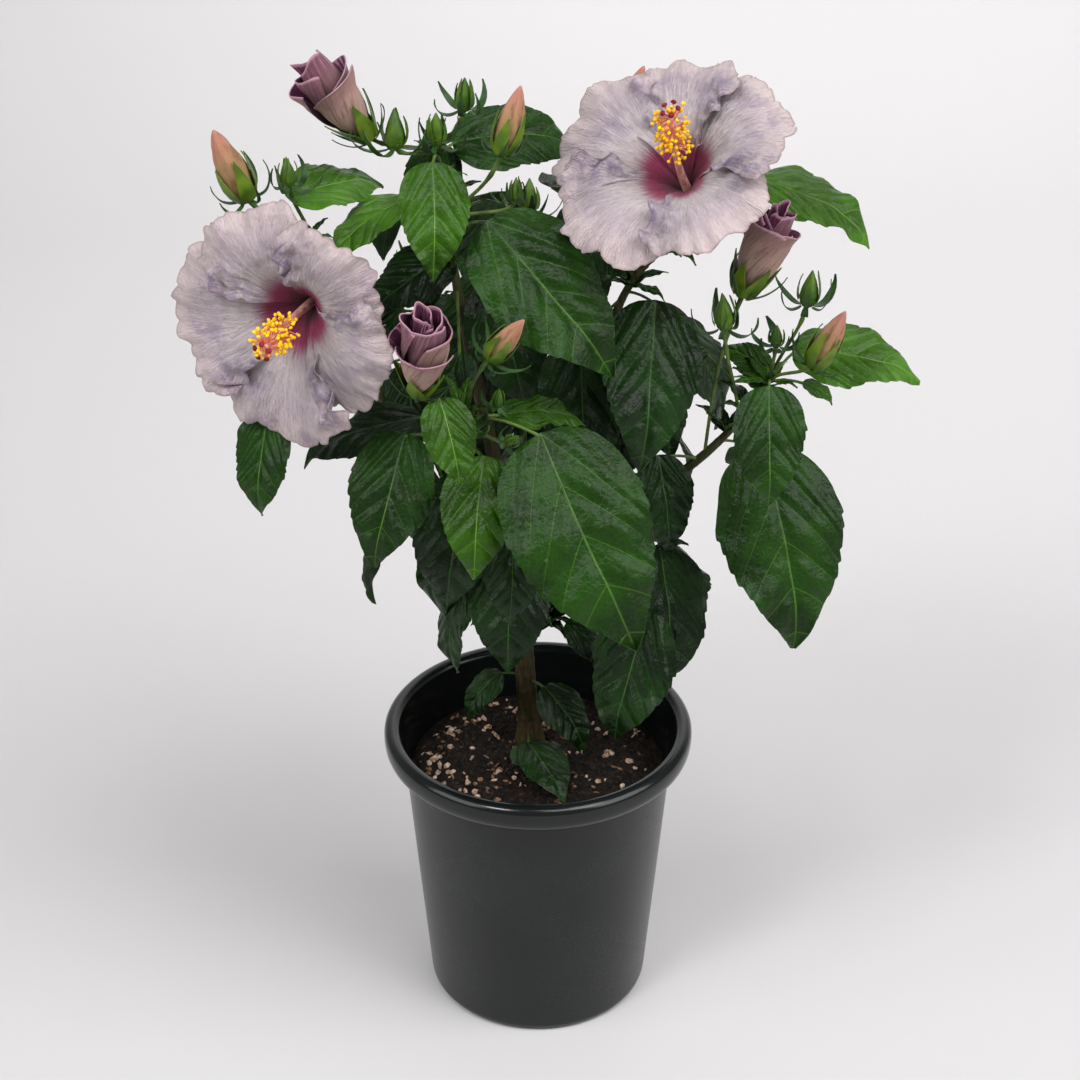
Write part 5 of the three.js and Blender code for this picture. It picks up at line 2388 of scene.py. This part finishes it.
@dataclass(frozen=True)
class Shrub:
    """All the sprays, grown in the solid model's order, and the single leaves at the trunk's foot."""

    def crown(self, stems: dict[str, tuple[Line, float]]) -> Crown:
        """Stands up what's listed: the wood, the placed leaves and the flowers.

        Args:
            stems: each spray's stem, and its foot's radius.

        Returns:
            The crown, before any leaf grows by rule.
        """
        crown = Crown()
        steps = np.linspace(0.0, 1.0, 15)
        crown.add("trunk", True, TRUNK_LINE.at(steps))
        for name, bough in BOUGHS.items():
            crown.add(name, True, bough_line(bough).at(steps))
        for name, spray in SPRAYS.items():
            crown.add(name, True, stems[name][0].at(steps))
            for blade in spray.leaves:
                crown.add(name, False, blade_spots(blade))
            for blossom in spray.flowers:
                crown.add_flower(name, blossom)
        return crown

    def build(self) -> None:
        """Makes their pieces."""
        stems = {name: stem_of(spray) for name, spray in SPRAYS.items()}
        crown = self.crown(stems)
        for number, (name, spray) in enumerate(SPRAYS.items()):
            stem, radius = stems[name]
            blades = list(spray.leaves)
            if spray.fill:
                blades += grown_leaves(name, spray, stem, crown)
            log.info("%s: %d leaves", name, len(blades))
            Foliage(name, spray, stem, radius, blades, 100 * (number + 1)).build()
        for number, (name, (share, blade)) in enumerate(FOOT_LEAVES.items()):
            sheaf = Sheaf()
            Leaf(blade, 5000 + number).add_to(sheaf)
            line = leaf_stalk(TRUNK_LINE.at(share), blade)
            sheaf.add_tube(line.at(np.linspace(0, 1, 14)), np.full(14, 0.9), 10, VEIN_SLOT)
            settle(sheaf.piece(name + "_blade", LEAF_MATERIALS), "foliage", name)


# ---------------------------------------------------------------- pot and soil

POT_HEIGHT = 221.0
POT_FOOT = 80.0
POT_TOP = 98.0
POT_RIM = 110.0
POT_WALL = 2.4
RIM_LIP = 20.0
RIM_ROLL = 6.0
FOOT_ROLL = 7.0
FLOOR = 3.0
SLOTS = 6
SLOT_RADIUS = 5.6
SLOT_SQUASH = 0.72
FIRST_SLOT = 265.0
SOIL_LEVEL = 184.0
SOIL_SWELL = 5.0
SOIL_FOOT = 3.3
SOIL_GAP = 0.5


# The lip's points: how far inside the rim, and how high over its lower edge.
LIP_CURVE = ((6.5, -0.4), (3.4, 1.2), (1.5, 3.6), (0.4, 6.6), (0.0, 9.6))


def wall_radius(height: float) -> float:
    """Gives the outside radius of the pot's wall at a height."""
    return POT_FOOT + (POT_TOP - POT_FOOT) * height / POT_HEIGHT


@dataclass(frozen=True)
class Pot:
    """A round nursery pot with a rolled rim and slots at its foot."""

    sides: int = 192

    def profile(self) -> Array:
        """Draws half the pot's section, from its underside round to its floor.

        Returns:
            Each point's distance from the axis and its height.
        """
        under = POT_HEIGHT - RIM_LIP
        middle = (POT_RIM - RIM_ROLL, POT_HEIGHT - RIM_ROLL)
        roll = [
            (middle[0] + RIM_ROLL * math.cos(angle), middle[1] + RIM_ROLL * math.sin(angle))
            for angle in np.linspace(0.0, math.pi, 13)
        ]
        foot = [
            (POT_FOOT - 6.0 + 6.5 * math.sin(angle), FOOT_ROLL - FOOT_ROLL * math.cos(angle))
            for angle in np.linspace(0.0, math.pi / 2, 8)
        ]
        wall = [(wall_radius(height), height) for height in np.linspace(9.0, under - 3.0, 24)]
        lip = [(POT_RIM - inward, under + rise) for inward, rise in LIP_CURVE]
        inside = [(wall_radius(height) - POT_WALL, height) for height in np.linspace(under, 5.0, 24)]
        floor = [(wall_radius(FLOOR) - POT_WALL - 2.0, FLOOR), (40.0, FLOOR)]
        skirt = (wall_radius(under) + 1.2, under - 1.6)
        return np.array([(40.0, 0.0), *foot, *wall, skirt, *lip, *roll, *inside, *floor])

    def shell(self) -> bpy.types.Object:
        """Turns the section into the pot, its wall a little out of round.

        Returns:
            The object.
        """
        profile = self.profile()
        around = np.arange(self.sides) * math.tau / self.sides
        radii, heights = profile[:, 0][:, None], profile[:, 1][:, None]
        away = radii * (1.0 + 0.0022 * np.sin(2.0 * around + 0.6) * ease(heights, 20.0, 120.0))
        level = np.broadcast_to(heights, away.shape)
        rings = polar(around, away, level)
        sheaf = Sheaf()
        sheaf.add(*capped(rings, np.array([0.0 * UP, FLOOR * UP])))
        return sheaf.piece("nursery_pot", ("pot plastic",), 40.0)

    def build(self) -> None:
        """Makes the pot and cuts its slots."""
        pot = self.shell()
        cutters = Sheaf()
        for number in range(SLOTS):
            outward = pointing(FIRST_SLOT + number * 360.0 / SLOTS, 0.0)
            line = (POT_FOOT - 4.0 + np.linspace(0.0, 10.0, 3))[:, None] * outward
            places, faces, _ = tube(line, np.full(3, SLOT_RADIUS), 24)
            cutters.add(places * (1.0, 1.0, SLOT_SQUASH), faces)
        tool = cutters.piece("slot_cutter", ())
        cut = pot.modifiers.new("slots", "BOOLEAN")
        cut.operation = "DIFFERENCE"
        cut.object = tool
        cut.solver = "EXACT"
        mesh = bpy.data.meshes.new_from_object(pot.evaluated_get(bpy.context.evaluated_depsgraph_get()))
        pot.modifiers.clear()
        pot.data = mesh
        bpy.data.objects.remove(tool)
        settle(pot, "pot", "pot")


def soil_radius(height: float) -> float:
    """Gives how far the soil reaches at a height."""
    return wall_radius(height) - POT_WALL - SOIL_GAP


CRUMBS = (
    ("perlite", Scatter(Pattern.CRUMB, 15000.0, (0.6, 0.6, 0.5), (4.2, 3.6, 2.8), 0.9, 71)),
    ("bark_chips", Scatter(Pattern.CRUMB, 14000.0, (0.8, 0.6, 0.4), (4.2, 2.8, 1.6), 0.9, 72)),
    ("dark_crumbs", Scatter(Pattern.CRUMB, 34000.0, (0.6, 0.6, 0.5), (3.0, 2.4, 1.8), 0.9, 73)),
)


@dataclass(frozen=True)
class Soil:
    """Potting mix in relief, with its crumbs."""

    rings: int = 60
    sides: int = 150

    def top(self) -> Array:
        """Works out the surface's points, ring by ring outwards from near the middle.

        Returns:
            The points, rings by sides.
        """
        turns = np.arange(self.sides) * math.tau / self.sides
        radius, around = np.meshgrid(np.linspace(0.02, 1.0, self.rings), turns, indexing="ij")
        away = radius * soil_radius(SOIL_LEVEL)
        flat = np.stack([np.cos(around) * away, np.sin(around) * away], axis=-1)
        level = SOIL_LEVEL + SOIL_SWELL * (1.0 - ease(away, 55.0, 95.0))
        lumps = ripple(flat / 34.0, 61, 7) * 1.1 + ripple(flat / 11.0, 62, 9) * 0.7
        lumps += ripple(flat / 5.0, 63, 9) * 0.35
        calm = 1.0 - ease(radius, 0.94, 1.0)
        return np.concatenate([flat, (level - 1.4 + lumps * calm)[..., None]], axis=-1)

    def build(self) -> None:
        """Makes the soil and lays crumbs on it."""
        top = self.top()
        base = top[-1] * (soil_radius(SOIL_FOOT) / soil_radius(SOIL_LEVEL))
        base[:, 2] = SOIL_FOOT
        ends = np.array([UP * top[0, :, 2].mean(), UP * SOIL_FOOT])
        sheaf = Sheaf()
        sheaf.add(*capped(np.concatenate([top, base[None]]), ends))
        settle(sheaf.piece("potting_mix", ("peat",)), "soil", "soil")
        for crumbs, scatter in CRUMBS:
            piece = scatter.over(self.host(crumbs, top), bpy.data.materials[crumbs.replace("_", " ")])
            settle(piece, "soil", "soil")

    @staticmethod
    def host(name: str, top: Array) -> bpy.types.Object:
        """Makes the patches of the surface that crumbs lie on, short of the wall.

        Args:
            name: the crumbs' name.
            top: the surface's points.

        Returns:
            The object.
        """
        sheaf = Sheaf()
        places, faces, sides = slab(top[:-4], top[:-4] - UP * 0.2)
        upper = faces[sides == 0]
        middles = places[upper].mean(axis=1)
        drift = ripple(middles[:, :2] / 42.0, len(name), 7) - middles[:, 0] / 150.0
        sheaf.add(places, upper[drift > (-9.0 if name.startswith("dark") else 0.25)])
        return sheaf.piece(name, ())


# ---------------------------------------------------------------- studio


@dataclass(frozen=True)
class Lamp:
    """A soft square light, by its place, what it's aimed at, its width and its power."""

    name: str
    place: Triple
    aim: Triple
    width: float
    power: float

    def build(self) -> None:
        """Hangs the light."""
        lamp = bpy.data.lights.new(self.name, "AREA")
        lamp.shape = "SQUARE"
        lamp.size = self.width
        lamp.energy = self.power
        light = bpy.data.objects.new(self.name, lamp)
        light.location = self.place
        light.rotation_euler = (Vector(self.aim) - Vector(self.place)).to_track_quat("-Z", "Y").to_euler()
        bpy.context.scene.collection.objects.link(light)


CROWN_MIDDLE = (0.0, 0.0, 0.4)
LAMPS = (
    Lamp("left", (-1.8, -1.0, 1.6), CROWN_MIDDLE, 1.6, 24.0),
    Lamp("right", (1.8, -0.9, 1.8), CROWN_MIDDLE, 1.8, 38.0),
    Lamp("key", (-0.9, -1.3, 2.3), CROWN_MIDDLE, 0.55, 20.0),
    Lamp("top", (0.75, -1.0, 2.5), (0.5, -0.35, 0.1), 1.3, 31.0),
    Lamp("backdrop", (0.5, 1.2, 2.5), (0.5, 2.9, 1.6), 1.6, 56.0),
)


@dataclass(frozen=True)
class Studio:
    """A pale sweep of paper, soft lamps, and the camera.

    Attributes:
        height: the camera's height, in metres.
        away: how far in front of the pot's middle it stands.
        dip: degrees that it looks down.
        lens: its focal length, in millimetres.
        shift: how far its frame is slid sideways, over its width.
        bend: where the paper starts to turn up, behind the plant.
        curve: the radius of that turn.
        room: how bright the room's even light is.
    """

    height: float = 1.1157
    away: float = 1.3265
    dip: float = 29.38
    lens: float = 74.2
    shift: float = 0.00185
    bend: float = 1.5
    curve: float = 1.2
    room: float = 0.26

    def sweep(self) -> None:
        """Makes the floor, which curves up behind the plant."""
        turns = np.linspace(0.1, math.pi / 2, 16)
        turned = zip(self.bend + self.curve * np.sin(turns), self.curve - self.curve * np.cos(turns))
        section = [(-3.0, 0.0), (0.0, 0.0), (self.bend, 0.0), *turned, (self.bend + self.curve, 3.5)]
        wide = np.linspace(-4.0, 4.0, 9)
        rows = np.array([[(x, y, z) for x in wide] for y, z in section]) / MM
        sheaf = Sheaf()
        places, faces, _ = slab(rows, rows - np.array([0.0, -4.0, 4.0]))
        sheaf.add(places, faces)
        sheaf.piece("paper_sweep", ("studio paper",), 80.0)

    def world(self) -> None:
        """Fills the room with even light."""
        world = bpy.data.worlds.new("room")
        bpy.context.scene.world = world
        world.use_nodes = True
        ground = next(node for node in world.node_tree.nodes if node.type == "BACKGROUND")
        ground.inputs["Color"].default_value = (1.0, 1.0, 1.0, 1.0)
        ground.inputs["Strength"].default_value = self.room

    def camera(self) -> None:
        """Hangs the camera in front of the plant, looking down at it."""
        camera = bpy.data.cameras.new("front")
        camera.lens = self.lens
        camera.sensor_width = 36.0
        camera.shift_x = self.shift
        view = bpy.data.objects.new("front", camera)
        view.location = (0.0, -self.away, self.height)
        view.rotation_euler = (math.radians(90.0 - self.dip), 0.0, 0.0)
        bpy.context.scene.collection.objects.link(view)
        bpy.context.scene.camera = view
        bpy.context.scene.view_settings.view_transform = "Standard"

    def build(self) -> None:
        """Sets up the whole studio."""
        self.sweep()
        self.world()
        for lamp in LAMPS:
            lamp.build()
        self.camera()


SKINS = (
    PotPlastic(),
    Peat(),
    Crumb("perlite", (0.28, 0.17, 0.11), (0.62, 0.48, 0.38)),
    Crumb("bark chips", (0.05, 0.024, 0.013), (0.3, 0.17, 0.1)),
    Crumb("dark crumbs", (0.004, 0.003, 0.002), (0.03, 0.018, 0.011)),
    *LEAF_SKINS.values(),
    LEAF_BACK,
    VEIN_SKIN,
    STALK_SKIN,
    TWIG_SKIN,
    TRUNK_SKIN,
    *BUD_SKINS,
    PetalSkin(),
    Pollen("column", (0.5, 0.2, 0.19), (0.66, 0.38, 0.32)),
    Pollen("style branch", (0.4, 0.05, 0.05), (0.6, 0.15, 0.12)),
    Pollen("stigma", (0.12, 0.004, 0.008), (0.26, 0.012, 0.02)),
    Pollen("filament", (0.6, 0.12, 0.06), (0.8, 0.3, 0.16)),
    Pollen("anther", (0.8, 0.42, 0.006), (0.96, 0.62, 0.015)),
    StudioPaper(),
)


def main() -> None:
    """Builds the plant, its pot and the studio."""
    logging.basicConfig(level=logging.INFO, format="%(message)s")
    for skin in SKINS:
        skin.material()
    Pot().build()
    Soil().build()
    Wood().build()
    Shrub().build()
    Studio().build()


if __name__ == "__main__":
    main()
